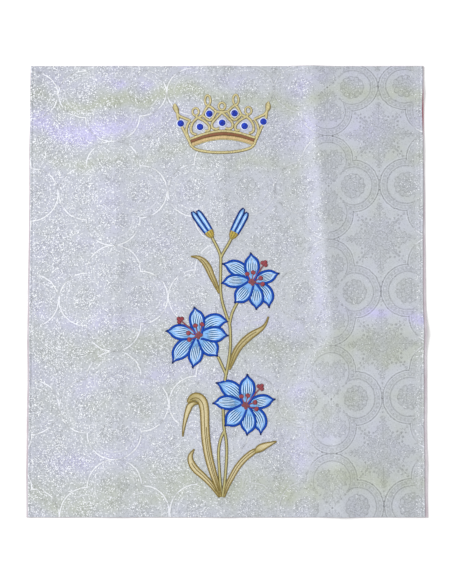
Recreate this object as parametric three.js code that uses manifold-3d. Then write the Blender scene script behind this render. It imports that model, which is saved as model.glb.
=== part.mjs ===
// An ambo cover: a lined panel of silver brocade that lies face up, with a crown and a spray of
// lilies worked on it in raised thread. Millimetres, +Z up. X runs across the cloth, +Y runs up it
// to the crown, and the origin is in the middle of the underside.
import * as THREE from 'three';
import { mergeVertices } from 'three/addons/utils/BufferGeometryUtils.js';
import Module from 'manifold-3d';

const wasm = await Module();
wasm.setup();

// Driving dimensions
const CLOTH = { width: 500, length: 570 };
const AIR = 0.3;
const THICK = { lining: 1.0, panel: 1.2, fill: 0.6, line: 0.5, cord: 1.0, calyx: 1.2 };

// Heights above the folded surface that the underside of the lining follows
const LINING_TOP = THICK.lining;
const PANEL_BASE = LINING_TOP + AIR;
const PANEL_TOP = PANEL_BASE + THICK.panel;
const THREAD_BASE = PANEL_TOP + AIR;
const FILL_TOP = THREAD_BASE + THICK.fill;
const LINE_BASE = FILL_TOP + AIR;
const LINE_TOP = LINE_BASE + THICK.line;
const STAMEN_BASE = LINE_TOP + AIR;
const STAMEN_TOP = STAMEN_BASE + THICK.line;
const CORD_TOP = THREAD_BASE + THICK.cord;
const CALYX_TOP = THREAD_BASE + THICK.calyx;

// How far the panel stops short of the lining. On the right the lining peeps out further for a
// stretch near the top.
const REVEAL = { side: 0.8, end: 0.8, peep: 1.5, peepAt: 228, peepReach: 48 };

// Storage creases, each a soft ridge. at is where its crest crosses the middle line of the cloth and
// lean is how that place drifts for each millimetre along the crest. The ridge is height tall at
// strongest, fades over spread to the share floor of it, and reaches reach to each side.
const LENGTHWISE = [
  { at: -137, lean: -0.010, height: 2.0, reach: 46, strongest: 40, spread: 190, floor: 0.45 },
  { at: -6, lean: 0.004, height: 2.8, reach: 44, strongest: 140, spread: 120, floor: 0.40 },
  { at: 126, lean: -0.066, height: 5.0, reach: 38, strongest: 60, spread: 210, floor: 0.50 },
];
const CROSSWISE = [
  { at: -224, lean: 0.010, height: 1.8, reach: 34, strongest: 60, spread: 180, floor: 0.40 },
  { at: -57, lean: 0.012, height: 4.0, reach: 38, strongest: 120, spread: 260, floor: 0.55 },
  { at: 176, lean: -0.015, height: 2.0, reach: 34, strongest: 40, spread: 160, floor: 0.35 },
  { at: 249, lean: 0.008, height: 2.2, reach: 26, strongest: 150, spread: 220, floor: 0.50 },
];

// Where grid lines run beside each crest, as shares of the ridge's reach, and how far the flat facets
// between them may stand over the smooth ridge
const STATIONS = [-1, -0.45, 0, 0.45, 1];
const FACET_RISE = 0.25;

// The crown, drawn in its own frame with the middle of the band's lower edge at the origin. Each
// route is one side of a pair, and side -1 mirrors it.
const CROWN = { x: -5.4, y: 190, turn: 0.021, cord: 1.25, fine: 0.95, band: 1.5, wide: 2.0 };
const CROWN_SIDES = {
  middleHeart: [[0, 35.5], [6.2, 27.5], [12.2, 20.5], [10.6, 13.8], [4.2, 12.8]],
  diamondOver: [[6.9, 37], [17.6, 44.6], [25.2, 33]],
  diamondUnder: [[6.9, 37], [14.8, 25.6], [25.2, 33]],
  heartLink: [[25.2, 33], [31.6, 30.2], [33.0, 34.6]],
  sideHeartInner: [[31.6, 30.2], [21.4, 23.6], [17.2, 17.0], [19.2, 11.4], [24.2, 9.4]],
  sideHeartOuter: [[31.6, 30.2], [38.2, 24.2], [41.0, 15.8], [38.6, 9.0], [33.2, 6.8]],
  hornSweep: [[57.0, 38.6], [53.2, 33.2], [46.0, 30.0], [39.8, 27.0]],
  hornInner: [[39.8, 27.0], [44.2, 21.4], [46.0, 14.0], [44.6, 4.0]],
  hornOuter: [[57.0, 38.6], [55.0, 28.0], [49.4, 15.4], [46.0, 6.0], [43.8, -5.4]],
};
const CROWN_SPANS = {
  joinBar: [[-6.9, 37], [0, 36.2], [6.9, 37]],
  upperEdge: [[-44.6, 1.8], [-22, 8.7], [0, 11.1], [22, 8.7], [44.6, 1.8]],
  rim: [[-43.8, -5.2], [-37, -11.2], [-21, -15.3], [0, -16.6], [21, -15.3], [37, -11.2], [43.8, -5.2]],
};
const CROWN_LOWER = [[-43.8, -4.8], [-22, 1.7], [0, 4.1], [22, 1.7], [43.8, -4.8]];
const CROWN_DARK = [[-40.6, -0.4], [-21, 5.6], [0, 8.0], [21, 5.6], [40.6, -0.4]];
const CROWN_LOOPS = [
  { u: 0, v: 42.4, across: 4.9, up: 5.6 },
  { u: 17.6, v: 50.4, across: 4.1, up: 6.9 },
  { u: -17.6, v: 50.4, across: 4.1, up: 6.9 },
  { u: 33.3, v: 38.6, across: 4.9, up: 5.1 },
  { u: -33.3, v: 38.6, across: 4.9, up: 5.1 },
];
const HORN_TIP = [[56.8, 37.6, 1.0], [58.0, 41.4, 2.6], [58.9, 45.0, 2.3], [59.3, 48.4, 0.5]];

const STONE = { radius: 3.8, table: 2.0, girdle: 0.7, height: 2.4, sides: 12, clear: 0.9 };
const STONE_PLACES = [
  { u: -52.7, v: 22.5 },
  { u: -28.4, v: 17.5 },
  { u: -15.9, v: 34.2 },
  { u: 0, v: 22.0 },
  { u: 15.9, v: 34.2 },
  { u: 28.4, v: 17.5 },
  { u: 52.7, v: 22.5 },
];

// Blooms. toward is a petal's bearing in degrees, reach its length from the heart of the bloom,
// breadth its full width, and bend how far its middle bows to the left of that bearing. The petals
// are listed from the uppermost down.
const RIGHT_PETALS = [
  { toward: 85, reach: 40, breadth: 18.5, bend: -1.5 },
  { toward: -136, reach: 36, breadth: 18.0, bend: 1.0 },
  { toward: -87, reach: 37, breadth: 18.5, bend: 2.8 },
  { toward: 12, reach: 38, breadth: 16.0, bend: 0.8 },
  { toward: 176, reach: 41, breadth: 16.5, bend: -2.4 },
  { toward: -62, reach: 41, breadth: 17.0, bend: 7.0 },
  { toward: 141, reach: 47, breadth: 17.0, bend: -5.2 },
];
const LEFT_PETALS = [
  { toward: 99, reach: 36, breadth: 17.5, bend: -0.6 },
  { toward: 0, reach: 36, breadth: 18.0, bend: 1.8 },
  { toward: -48, reach: 34, breadth: 18.5, bend: 0.5 },
  { toward: -101, reach: 41, breadth: 17.0, bend: 0.5 },
  { toward: 172, reach: 41, breadth: 17.5, bend: -1.2 },
  { toward: -134, reach: 47, breadth: 17.0, bend: -3.2 },
  { toward: 22, reach: 39, breadth: 17.0, bend: 5.2 },
];
const BLOOMS = [
  { name: 'bloom_upper', x: 33.7, y: 7.4, size: 0.91, turn: 6, petals: RIGHT_PETALS, pistil: 56 },
  { name: 'bloom_middle', x: -34.5, y: -58.2, size: 1.0, turn: 0, petals: LEFT_PETALS, pistil: 140 },
  { name: 'bloom_lower', x: 24.0, y: -146.8, size: 1.0, turn: 0, petals: RIGHT_PETALS, pistil: 50 },
];
const PETAL = { root: 1.0, waist: 0.13, tip: 0.5, sharpness: 0.95, draw: 1.6, steps: 7 };
const PETAL_LINE = 2.1;
const STAMENS = { boss: 3.8, thread: 0.7, pistilReach: 29, pistilHead: 3.1, anther: 2.3, reach: 13.4 };
const HEART_LINES = 4.6;
const STAMEN_BEARINGS = [-62, -30, 30, 62];

// Buds. Each is two long petals side by side that stand in a cup at the end of a stalk.
const BUDS = [
  { name: 'bud_left', x: -22.6, y: 72.6, toward: 124 },
  { name: 'bud_right', x: 9.0, y: 71.4, toward: 63 },
];
const BUD = { reach: 33.5, breadth: 6.8, spread: 3.0, shorter: 2.4, line: 1.3, cupHalf: 5.4 };

// Stems: points in X and Y, all of one width
const STEM_HALF = 1.7;
const STEM_UPPER = [
  [[-19.4, 67.2], [-15.6, 60.0], [-11.2, 51.0], [-8.0, 42.0], [-7.8, 28.0], [-7.8, -2.0]],
  [[6.2, 65.8], [1.4, 56.4], [-3.6, 48.2], [-8.0, 40.0]],
  [[-7.8, -2.0], [-5.6, -16.0], [-0.4, -33.0], [3.4, -44.0], [4.4, -58.0], [4.0, -76.0],
    [0.6, -98.0], [-3.4, -118.0]],
  [[13.4, -15.4], [6.6, -29.4], [3.2, -44.0]],
  [[-11.2, -84.0], [-5.2, -97.0], [-1.4, -106.0]],
];
const STEM_LOWER = [
  [[-5.0, -146.0], [-4.4, -158.0], [-4.0, -168.0], [-2.8, -178.0]],
  [[-2.8, -176.0], [-1.4, -185.0], [-0.2, -200.0], [-1.0, -220.0], [-3.0, -242.0], [-6.4, -255.0]],
  [[-2.8, -176.0], [-7.8, -187.0], [-10.4, -202.0], [-9.6, -222.0], [-8.2, -242.0], [-6.4, -255.0]],
];

// Leaves: each row is X, Y and half the leaf's width there, from the root to the tip
const LEAVES = {
  leaf_upper: [[-9.4, -4.4, 1.2], [-14.8, 8.0, 2.6], [-19.6, 18.6, 3.2], [-23.8, 28.2, 3.6],
    [-29.6, 36.2, 3.0], [-36.6, 40.8, 1.8], [-45.4, 42.0, 0.5]],
  leaf_middle: [[2.4, -100.0, 1.6], [6.0, -91.0, 2.6], [10.0, -81.0, 3.3], [15.2, -72.0, 3.6],
    [22.0, -64.4, 3.8], [30.2, -57.4, 3.6], [38.4, -52.2, 2.9], [45.4, -47.2, 1.8],
    [49.6, -41.0, 1.1], [52.3, -33.8, 0.6]],
  leaf_tall: [[-10.4, -251.0, 1.6], [-13.2, -242.0, 3.0], [-18.7, -224.4, 4.0], [-23.5, -205.4, 4.4],
    [-26.4, -186.3, 4.6], [-27.4, -167.2, 4.6], [-28.4, -152.0, 4.8], [-31.0, -141.4, 5.0],
    [-36.6, -135.6, 5.0], [-43.0, -136.8, 4.6], [-47.4, -143.6, 4.0], [-50.4, -155.0, 3.2],
    [-52.9, -168.1, 2.2], [-55.0, -184.4, 0.5]],
  leaf_left: [[-13.4, -252.6, 1.0], [-20.6, -242.4, 2.6], [-30.2, -232.6, 3.4], [-38.8, -224.8, 3.8],
    [-44.6, -216.0, 3.4], [-45.6, -208.0, 2.4], [-40.8, -199.6, 0.5]],
  leaf_right: [[-2.2, -254.6, 1.2], [1.4, -243.4, 2.4], [6.6, -233.0, 2.8], [14.0, -220.6, 3.0],
    [23.6, -210.1, 3.0], [33.2, -202.5, 3.4], [40.6, -198.6, 3.9], [47.6, -195.4, 3.4],
    [54.8, -192.6, 2.0], [61.6, -190.1, 0.5]],
};

// Colours
const SILVER = new THREE.MeshStandardMaterial({ color: 0xc9cbd3, roughness: 0.45, metalness: 0.15 });
const ROSE_GREY = new THREE.MeshStandardMaterial({ color: 0x9b848b, roughness: 0.85, metalness: 0 });
const GOLD = new THREE.MeshStandardMaterial({ color: 0xc2a85a, roughness: 0.5, metalness: 0.1 });
const OLIVE = new THREE.MeshStandardMaterial({ color: 0x9c9448, roughness: 0.55, metalness: 0.05 });
const RUSSET = new THREE.MeshStandardMaterial({ color: 0x8a4a32, roughness: 0.6, metalness: 0 });
const SKY = new THREE.MeshStandardMaterial({ color: 0xa3cfee, roughness: 0.5, metalness: 0 });
const ROYAL = new THREE.MeshStandardMaterial({ color: 0x1740b8, roughness: 0.45, metalness: 0 });
const BRICK = new THREE.MeshStandardMaterial({ color: 0xa84848, roughness: 0.55, metalness: 0 });
const COBALT = new THREE.MeshStandardMaterial({ color: 0x1038c8, roughness: 0.1, metalness: 0 });

// Half the height of the straight-sided columns that the thread shapes are first made as
const COLUMN = 30;
const DEGREE = Math.PI / 180;

// The height of one ridge at a point that is off its crest by off and lies along it by along
function ridge(crease, off, along) {
  const side = Math.max(0, 1 - Math.abs(off) / crease.reach);
  const away = (along - crease.strongest) / crease.spread;
  const strength = crease.floor + (1 - crease.floor) * Math.exp(-away * away);
  return crease.height * strength * side * side;
}

// The height of the cloth's underside over the surface that it lies on
function foldHeight(x, y) {
  const lengthwise = LENGTHWISE.map((crease) => ridge(crease, x - crease.at - crease.lean * y, y));
  const crosswise = CROSSWISE.map((crease) => ridge(crease, y - crease.at - crease.lean * x, x));
  return Math.hypot(...lengthwise, ...crosswise);
}

// The grid lines that run beside every crest, with the two edges
function gridLines(creases, half) {
  const beside = creases.flatMap((crease) => STATIONS.map((share) => ({
    at: crease.at + share * crease.reach,
    lean: crease.lean,
  })));
  return [{ at: -half, lean: 0 }, ...beside, { at: half, lean: 0 }];
}

const COLUMNS = gridLines(LENGTHWISE, CLOTH.width / 2);
const ROWS = gridLines(CROSSWISE, CLOTH.length / 2);

// How far the panel's edge lies inside the lining's at a height y up the right or the left side
function sideReveal(right, y) {
  const away = (y - REVEAL.peepAt) / REVEAL.peepReach;
  return REVEAL.side + (right ? REVEAL.peep * Math.exp(-away * away) : 0);
}

// The place of grid point i, j, drawn in from the edges where inset asks for it
function gridPoint(i, j, inset) {
  const column = COLUMNS[i];
  const row = ROWS[j];
  let x = (column.at + column.lean * row.at) / (1 - column.lean * row.lean);
  let y = row.at + row.lean * x;
  if (inset) {
    x += i === 0 ? sideReveal(false, y) : 0;
    x -= i === COLUMNS.length - 1 ? sideReveal(true, y) : 0;
    y += j === 0 ? REVEAL.end : 0;
    y -= j === ROWS.length - 1 ? REVEAL.end : 0;
  }
  return { x, y };
}

// A closed sheet that follows the folds from one height above the underside to another. Both faces
// are split along the same diagonals, so sheets laid over each other keep an even gap.
function sheet(from, to, inset) {
  const points = [];
  [from, to].forEach((lift) => ROWS.forEach((row, j) => COLUMNS.forEach((column, i) => {
    const { x, y } = gridPoint(i, j, inset);
    points.push(x, y, foldHeight(x, y) + lift);
  })));
  const count = COLUMNS.length * ROWS.length;
  const place = (i, j) => j * COLUMNS.length + i;
  const index = [];
  for (let j = 0; j < ROWS.length - 1; j += 1) {
    for (let i = 0; i < COLUMNS.length - 1; i += 1) {
      const corners = [place(i, j), place(i + 1, j), place(i + 1, j + 1), place(i, j + 1)];
      const [a, b, c, d] = corners;
      const [e, f, g, h] = corners.map((corner) => corner + count);
      index.push(a, c, b, a, d, c, e, f, g, e, g, h);
    }
  }
  const across = COLUMNS.map((_, i) => i);
  const up = ROWS.map((_, j) => j);
  const rim = [
    ...across.map((i) => place(i, 0)),
    ...up.slice(1).map((j) => place(COLUMNS.length - 1, j)),
    ...across.toReversed().slice(1).map((i) => place(i, ROWS.length - 1)),
    ...up.toReversed().slice(1, -1).map((j) => place(0, j)),
  ];
  rim.forEach((a, n) => {
    const b = rim[(n + 1) % rim.length];
    index.push(a, b, b + count, a, b + count, a + count);
  });
  const geometry = new THREE.BufferGeometry();
  geometry.setAttribute('position', new THREE.Float32BufferAttribute(points, 3));
  geometry.setIndex(index);
  return geometry;
}

// A closed mesh as a solid that can be joined and cut
function solidOf(geometry) {
  const bare = geometry.index ? geometry.clone() : geometry;
  bare.deleteAttribute('normal');
  bare.deleteAttribute('uv');
  const merged = mergeVertices(bare);
  return new wasm.Manifold(new wasm.Mesh({
    numProp: 3,
    vertProperties: Float32Array.from(merged.attributes.position.array),
    triVerts: Uint32Array.from(merged.index.array),
  }));
}

// The solid as a mesh again
function geometryOf(solid) {
  const mesh = solid.getMesh();
  const geometry = new THREE.BufferGeometry();
  geometry.setAttribute('position', new THREE.BufferAttribute(mesh.vertProperties, mesh.numProp));
  geometry.setIndex(new THREE.BufferAttribute(mesh.triVerts, 1));
  return geometry;
}

function join(solids) {
  return solids.reduce((whole, next) => whole.add(next));
}

// A column that follows a route of [x, y, half width] rows, made wider and longer by grow
function strip(route, grow = 0, steps = 2 * (route.length - 1)) {
  const curve = new THREE.CatmullRomCurve3(route.map(([x, y, half]) => new THREE.Vector3(x, y, half)));
  const stations = Array.from({ length: steps + 1 }, (_, n) => {
    const place = curve.getPoint(n / steps);
    const heading = curve.getTangent(n / steps);
    const length = Math.hypot(heading.x, heading.y);
    return { x: place.x, y: place.y, half: place.z + grow, ex: heading.x / length, ey: heading.y / length };
  });
  const geometry = new THREE.BoxGeometry(1, steps, 2 * COLUMN, 1, steps, 1);
  const position = geometry.attributes.position;
  for (let n = 0; n < position.count; n += 1) {
    const index = Math.round(position.getY(n) + steps / 2);
    const station = stations[index];
    const side = 2 * position.getX(n) * station.half;
    const push = (index === 0 ? -grow : 0) + (index === steps ? grow : 0);
    const x = station.x + station.ey * side + station.ex * push;
    const y = station.y - station.ex * side + station.ey * push;
    position.setXYZ(n, x, y, position.getZ(n));
  }
  return solidOf(geometry);
}

// A strip of one width
function cord(points, half, grow = 0, steps = undefined) {
  return strip(points.map(([x, y]) => [x, y, half]), grow, steps);
}

// An upright round column
function disc(x, y, radius, sides = 10) {
  const geometry = new THREE.CylinderGeometry(radius, radius, 2 * COLUMN, sides);
  geometry.rotateX(Math.PI / 2);
  geometry.translate(x, y, 0);
  return solidOf(geometry);
}

// The crown's own frame placed on the cloth
function onCrown([u, v, ...rest]) {
  const cos = Math.cos(CROWN.turn);
  const sin = Math.sin(CROWN.turn);
  return [CROWN.x + u * cos - v * sin, CROWN.y + u * sin + v * cos, ...rest];
}

function mirrored(points, side) {
  return points.map(([u, v, ...rest]) => [side * u, v, ...rest]);
}

function crownCord(points, half, grow = 0) {
  return cord(points.map(onCrown), half, grow);
}

// An oval ring of cord
function crownLoop({ u, v, across, up }) {
  const ring = new THREE.Shape();
  ring.absellipse(0, 0, across, up, 0, 2 * Math.PI, false, 0);
  const hole = new THREE.Path();
  hole.absellipse(0, 0, across - 2 * CROWN.fine, up - 2 * CROWN.fine, 0, 2 * Math.PI, true, 0);
  ring.holes.push(hole);
  const options = { depth: 2 * COLUMN, bevelEnabled: false, curveSegments: 6 };
  const geometry = new THREE.ExtrudeGeometry(ring, options);
  const [x, y] = onCrown([u, v]);
  geometry.rotateZ(CROWN.turn);
  geometry.translate(x, y, -COLUMN);
  return solidOf(geometry);
}

function stoneSeats(clear) {
  return STONE_PLACES.map(({ u, v }) => disc(...onCrown([u, v]), STONE.radius + clear, STONE.sides));
}

function crownGold() {
  const paired = Object.values(CROWN_SIDES).flatMap((points) => (
    [-1, 1].map((side) => crownCord(mirrored(points, side), CROWN.cord))));
  const spans = Object.values(CROWN_SPANS).map((points) => crownCord(points, CROWN.cord));
  const tips = [-1, 1].map((side) => strip(mirrored(HORN_TIP, side).map(onCrown)));
  const loops = CROWN_LOOPS.map(crownLoop);
  const lower = crownCord(CROWN_LOWER, CROWN.wide);
  return join([...paired, ...spans, ...tips, ...loops, lower])
    .subtract(crownCord(CROWN_DARK, CROWN.band, AIR))
    .subtract(join(stoneSeats(STONE.clear)));
}

// One petal's column, drawn in all round by inset
function petal(bloom, row, inset = 0) {
  const bearing = (row.toward + bloom.turn) * DEGREE;
  const reach = row.reach * bloom.size;
  const along = [Math.cos(bearing), Math.sin(bearing)];
  const place = (far, left) => new THREE.Vector2(
    bloom.x + far * along[0] - left * along[1],
    bloom.y + far * along[1] + left * along[0],
  );
  const bow = place(0.5 * reach, 2 * row.bend * bloom.size);
  const curve = new THREE.QuadraticBezierCurve(place(PETAL.root, 0), bow, place(reach, 0));
  const end = 1 - (PETAL.draw * inset) / reach;
  const route = Array.from({ length: PETAL.steps + 1 }, (_, n) => {
    const share = (end * n) / PETAL.steps;
    const point = curve.getPoint(share);
    const turn = Math.min(1, PETAL.waist + (1 - PETAL.waist) * share);
    const swell = Math.sin(Math.PI * turn) ** PETAL.sharpness;
    const half = 0.5 * row.breadth * bloom.size * swell - inset;
    return [point.x, point.y, Math.max(half, PETAL.tip)];
  });
  return strip(route, 0, PETAL.steps);
}

function bloomFill(bloom, grow = 0) {
  return join(bloom.petals.map((row) => petal(bloom, row, -grow)));
}

// The satin line round each petal, hidden where a petal above covers it, and the knot of lines at
// the heart of the bloom
function bloomLines(bloom) {
  const lines = bloom.petals.map((row, n) => {
    const line = petal(bloom, row).subtract(petal(bloom, row, PETAL_LINE));
    return bloom.petals.slice(0, n).reduce((left, over) => left.subtract(petal(bloom, over, AIR)), line);
  });
  return join([...lines, disc(bloom.x, bloom.y, HEART_LINES)]);
}

// The red stamens and the one long pistil with its round head
function bloomStamens(bloom) {
  const at = (bearing, reach) => [
    bloom.x + reach * bloom.size * Math.cos(bearing * DEGREE),
    bloom.y + reach * bloom.size * Math.sin(bearing * DEGREE),
  ];
  const heart = [bloom.x, bloom.y];
  const anthers = STAMEN_BEARINGS.map((bearing) => at(bloom.pistil + bearing, STAMENS.reach));
  const threads = anthers.map((end) => cord([heart, end], STAMENS.thread, 0, 1));
  const pistilEnd = at(bloom.pistil, STAMENS.pistilReach);
  return {
    high: join([
      disc(...heart, STAMENS.boss),
      ...threads,
      ...anthers.map((end) => disc(...end, STAMENS.anther, 8)),
      cord([heart, pistilEnd], STAMENS.thread, 0, 1),
      disc(...pistilEnd, STAMENS.pistilHead),
    ]),
    low: disc(...pistilEnd, STAMENS.pistilHead).subtract(bloomFill(bloom, AIR)),
  };
}

// A bud's two petals as routes, drawn in by inset
function budRoutes(bud, inset) {
  const bearing = bud.toward * DEGREE;
  const along = [Math.cos(bearing), Math.sin(bearing)];
  return [-1, 1].map((side) => {
    const reach = BUD.reach - (side > 0 ? 0 : BUD.shorter) - 1.4 * inset;
    const place = (far, left, half) => [
      bud.x + far * along[0] - left * along[1],
      bud.y + far * along[1] + left * along[0],
      Math.max(half - inset, 0.4),
    ];
    const half = BUD.breadth / 2;
    return [
      place(0, side * BUD.spread * 0.85, half * 0.86),
      place(reach * 0.5, side * BUD.spread, half),
      place(reach * 0.85, side * BUD.spread, half * 0.86),
      place(reach, side * BUD.spread * 0.94, half * 0.3),
    ];
  });
}

function budFill(bud) {
  return join(budRoutes(bud, 0).map((route) => strip(route)));
}

function budLines(bud) {
  return join(budRoutes(bud, 0).map((route, n) => (
    strip(route).subtract(strip(budRoutes(bud, BUD.line)[n])))));
}

// The gold cup that a bud stands in
function budCup(bud, grow = 0) {
  const bearing = bud.toward * DEGREE;
  const place = (far, half) => [
    bud.x + far * Math.cos(bearing),
    bud.y + far * Math.sin(bearing),
    half,
  ];
  return strip([place(-6.4, 1.8), place(-3.2, BUD.cupHalf * 0.8), place(1.6, BUD.cupHalf)], grow);
}

// Every bloom and cup as columns with a little air round them, for what runs up to them to stop at
const BLOOM_ROOM = join(BLOOMS.map((bloom) => bloomFill(bloom, AIR)));
const CUP_ROOM = join(BUDS.map((bud) => budCup(bud, AIR)));

function stems(routes, grow = 0) {
  return join(routes.map((points) => cord(points, STEM_HALF, grow)));
}

function stemBody(routes) {
  return stems(routes).subtract(BLOOM_ROOM).subtract(CUP_ROOM);
}

const STEM_ROOM = stems([...STEM_UPPER, ...STEM_LOWER], AIR);

// A leaf, cut back from the blooms, the stems and the leaves that were laid before it
function leafBody(name) {
  const names = Object.keys(LEAVES);
  const laidBefore = names.slice(0, names.indexOf(name)).map((other) => strip(LEAVES[other], AIR));
  const rooms = [BLOOM_ROOM, STEM_ROOM, ...laidBefore];
  return rooms.reduce((left, room) => left.subtract(room), strip(LEAVES[name]));
}

// Thread work: the column's stretch that lies between two heights over the folded cloth
const LEVELS = {
  fill: solidOf(sheet(THREAD_BASE, FILL_TOP, true)),
  line: solidOf(sheet(LINE_BASE, LINE_TOP, true)),
  stamen: solidOf(sheet(STAMEN_BASE, STAMEN_TOP, true)),
  pistilFoot: solidOf(sheet(THREAD_BASE, STAMEN_TOP, true)),
  cord: solidOf(sheet(THREAD_BASE, CORD_TOP, true)),
  calyx: solidOf(sheet(THREAD_BASE, CALYX_TOP, true)),
};

// The largest body of a solid: what a cut leaves as crumbs is dropped
function mainBody(solid) {
  return solid.decompose().reduce((best, body) => (body.volume() > best.volume() ? body : best));
}

function worked(column, level) {
  return geometryOf(mainBody(column.intersect(LEVELS[level])));
}

// A flat-backed cut stone, seated on the slope of the cloth under it
function stoneMesh(name, place) {
  const [x, y] = onCrown([place.u, place.v]);
  const profile = [
    [0, 0],
    [STONE.radius, 0],
    [STONE.radius, STONE.girdle],
    [STONE.table, STONE.height],
    [0, STONE.height],
  ].map(([r, z]) => new THREE.Vector2(r, z));
  const geometry = new THREE.LatheGeometry(profile, STONE.sides);
  geometry.rotateX(Math.PI / 2);
  const slopeX = (foldHeight(x + STONE.radius, y) - foldHeight(x - STONE.radius, y)) / (2 * STONE.radius);
  const slopeY = (foldHeight(x, y + STONE.radius) - foldHeight(x, y - STONE.radius)) / (2 * STONE.radius);
  const up = new THREE.Vector3(-slopeX, -slopeY, 1).normalize();
  const rims = Array.from({ length: STONE.sides }, (_, n) => (2 * Math.PI * n) / STONE.sides);
  const seat = Math.max(foldHeight(x, y), ...rims.map((angle) => {
    const dx = STONE.radius * Math.cos(angle);
    const dy = STONE.radius * Math.sin(angle);
    return foldHeight(x + dx, y + dy) - slopeX * dx - slopeY * dy;
  }));
  const mesh = new THREE.Mesh(geometry, COBALT);
  mesh.name = name;
  mesh.quaternion.setFromUnitVectors(new THREE.Vector3(0, 0, 1), up);
  mesh.position.set(x, y, seat + THREAD_BASE + FACET_RISE);
  return mesh;
}

function named(name, geometry, material) {
  const mesh = new THREE.Mesh(geometry, material);
  mesh.name = name;
  return mesh;
}

const cover = new THREE.Group();
cover.add(named('lining', sheet(0, LINING_TOP, false), ROSE_GREY));
cover.add(named('panel', sheet(PANEL_BASE, PANEL_TOP, true), SILVER));
cover.add(named('crown_gold', worked(crownGold(), 'cord'), GOLD));
cover.add(named('crown_band', worked(crownCord(CROWN_DARK, CROWN.band), 'cord'), RUSSET));
STONE_PLACES.forEach((place, n) => cover.add(stoneMesh(`stone_${n + 1}`, place)));
cover.add(named('stem_upper', worked(stemBody(STEM_UPPER), 'cord'), OLIVE));
cover.add(named('stem_lower', worked(stemBody(STEM_LOWER), 'cord'), OLIVE));
Object.keys(LEAVES).forEach((name) => cover.add(named(name, worked(leafBody(name), 'cord'), GOLD)));
BLOOMS.forEach((bloom) => {
  const { high, low } = bloomStamens(bloom);
  const stamens = high.intersect(LEVELS.stamen).add(low.intersect(LEVELS.pistilFoot));
  cover.add(named(`${bloom.name}_petals`, worked(bloomFill(bloom), 'fill'), SKY));
  cover.add(named(`${bloom.name}_outline`, worked(bloomLines(bloom), 'line'), ROYAL));
  cover.add(named(`${bloom.name}_stamens`, geometryOf(mainBody(stamens)), BRICK));
});
BUDS.forEach((bud) => {
  const room = budCup(bud, AIR);
  cover.add(named(`${bud.name}_petals`, worked(budFill(bud).subtract(room), 'fill'), SKY));
  cover.add(named(`${bud.name}_outline`, worked(budLines(bud).subtract(room), 'line'), ROYAL));
  cover.add(named(`${bud.name}_cup`, worked(budCup(bud), 'calyx'), GOLD));
});

export default cover;
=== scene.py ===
"""The looks of an ambo cover: silver brocade, lined, with a crown and a spray of lilies in raised thread.

Sizes are in millimetres unless a name says otherwise, and become metres where a mesh gets its points.
X runs across the cloth, +Y up it to the crown, and +Z out of its face.
"""

import logging
import math
from dataclasses import dataclass
from enum import Enum
from typing import Callable, Iterable, Sequence, Union

import bmesh
import bpy
import numpy as np
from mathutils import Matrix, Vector


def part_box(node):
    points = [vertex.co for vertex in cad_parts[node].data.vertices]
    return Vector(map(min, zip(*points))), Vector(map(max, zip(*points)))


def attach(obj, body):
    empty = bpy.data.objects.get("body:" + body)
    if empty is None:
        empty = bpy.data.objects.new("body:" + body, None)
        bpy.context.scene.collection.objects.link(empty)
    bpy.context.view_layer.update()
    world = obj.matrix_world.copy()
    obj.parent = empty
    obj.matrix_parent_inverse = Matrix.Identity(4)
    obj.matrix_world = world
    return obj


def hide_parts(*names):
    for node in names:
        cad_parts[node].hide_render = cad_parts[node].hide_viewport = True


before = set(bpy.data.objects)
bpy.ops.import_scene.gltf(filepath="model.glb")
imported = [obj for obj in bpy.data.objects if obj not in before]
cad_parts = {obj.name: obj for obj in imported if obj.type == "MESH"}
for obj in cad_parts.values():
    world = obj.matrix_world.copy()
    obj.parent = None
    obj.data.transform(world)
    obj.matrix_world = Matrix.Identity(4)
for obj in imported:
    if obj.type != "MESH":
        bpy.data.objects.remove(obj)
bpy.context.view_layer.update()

LOG = logging.getLogger("ambo_cover")
MM = 0.001

Colour = tuple[float, float, float]
Point = tuple[float, float]
Row = tuple[float, float, float]
Array = np.ndarray
Material = bpy.types.Material
Piece = bpy.types.Object
Mesh = bmesh.types.BMesh
Number = Union["Value", float]


def tone(red: int, green: int, blue: int) -> Colour:
    """The linear colour of a screen colour.

    Args:
        red: Red from 0 to 255.
        green: Green from 0 to 255.
        blue: Blue from 0 to 255.

    Returns:
        The three linear shares.
    """
    shares = [c / 255 for c in (red, green, blue)]
    return tuple(s / 12.92 if s <= 0.04045 else ((s + 0.055) / 1.055) ** 2.4 for s in shares)


def bell(value: Array, at: float, reach: float) -> Array:
    """A smooth hump: 1 at its middle, fading out to both sides over its reach."""
    return np.exp(-(((value - at) / reach) ** 2))


def falls(value: Array, at: float, reach: float) -> Array:
    """A smooth fall from 1 below a place to 0 above it."""
    return 0.5 - 0.5 * np.tanh((value - at) / reach)


# Node maths


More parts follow.
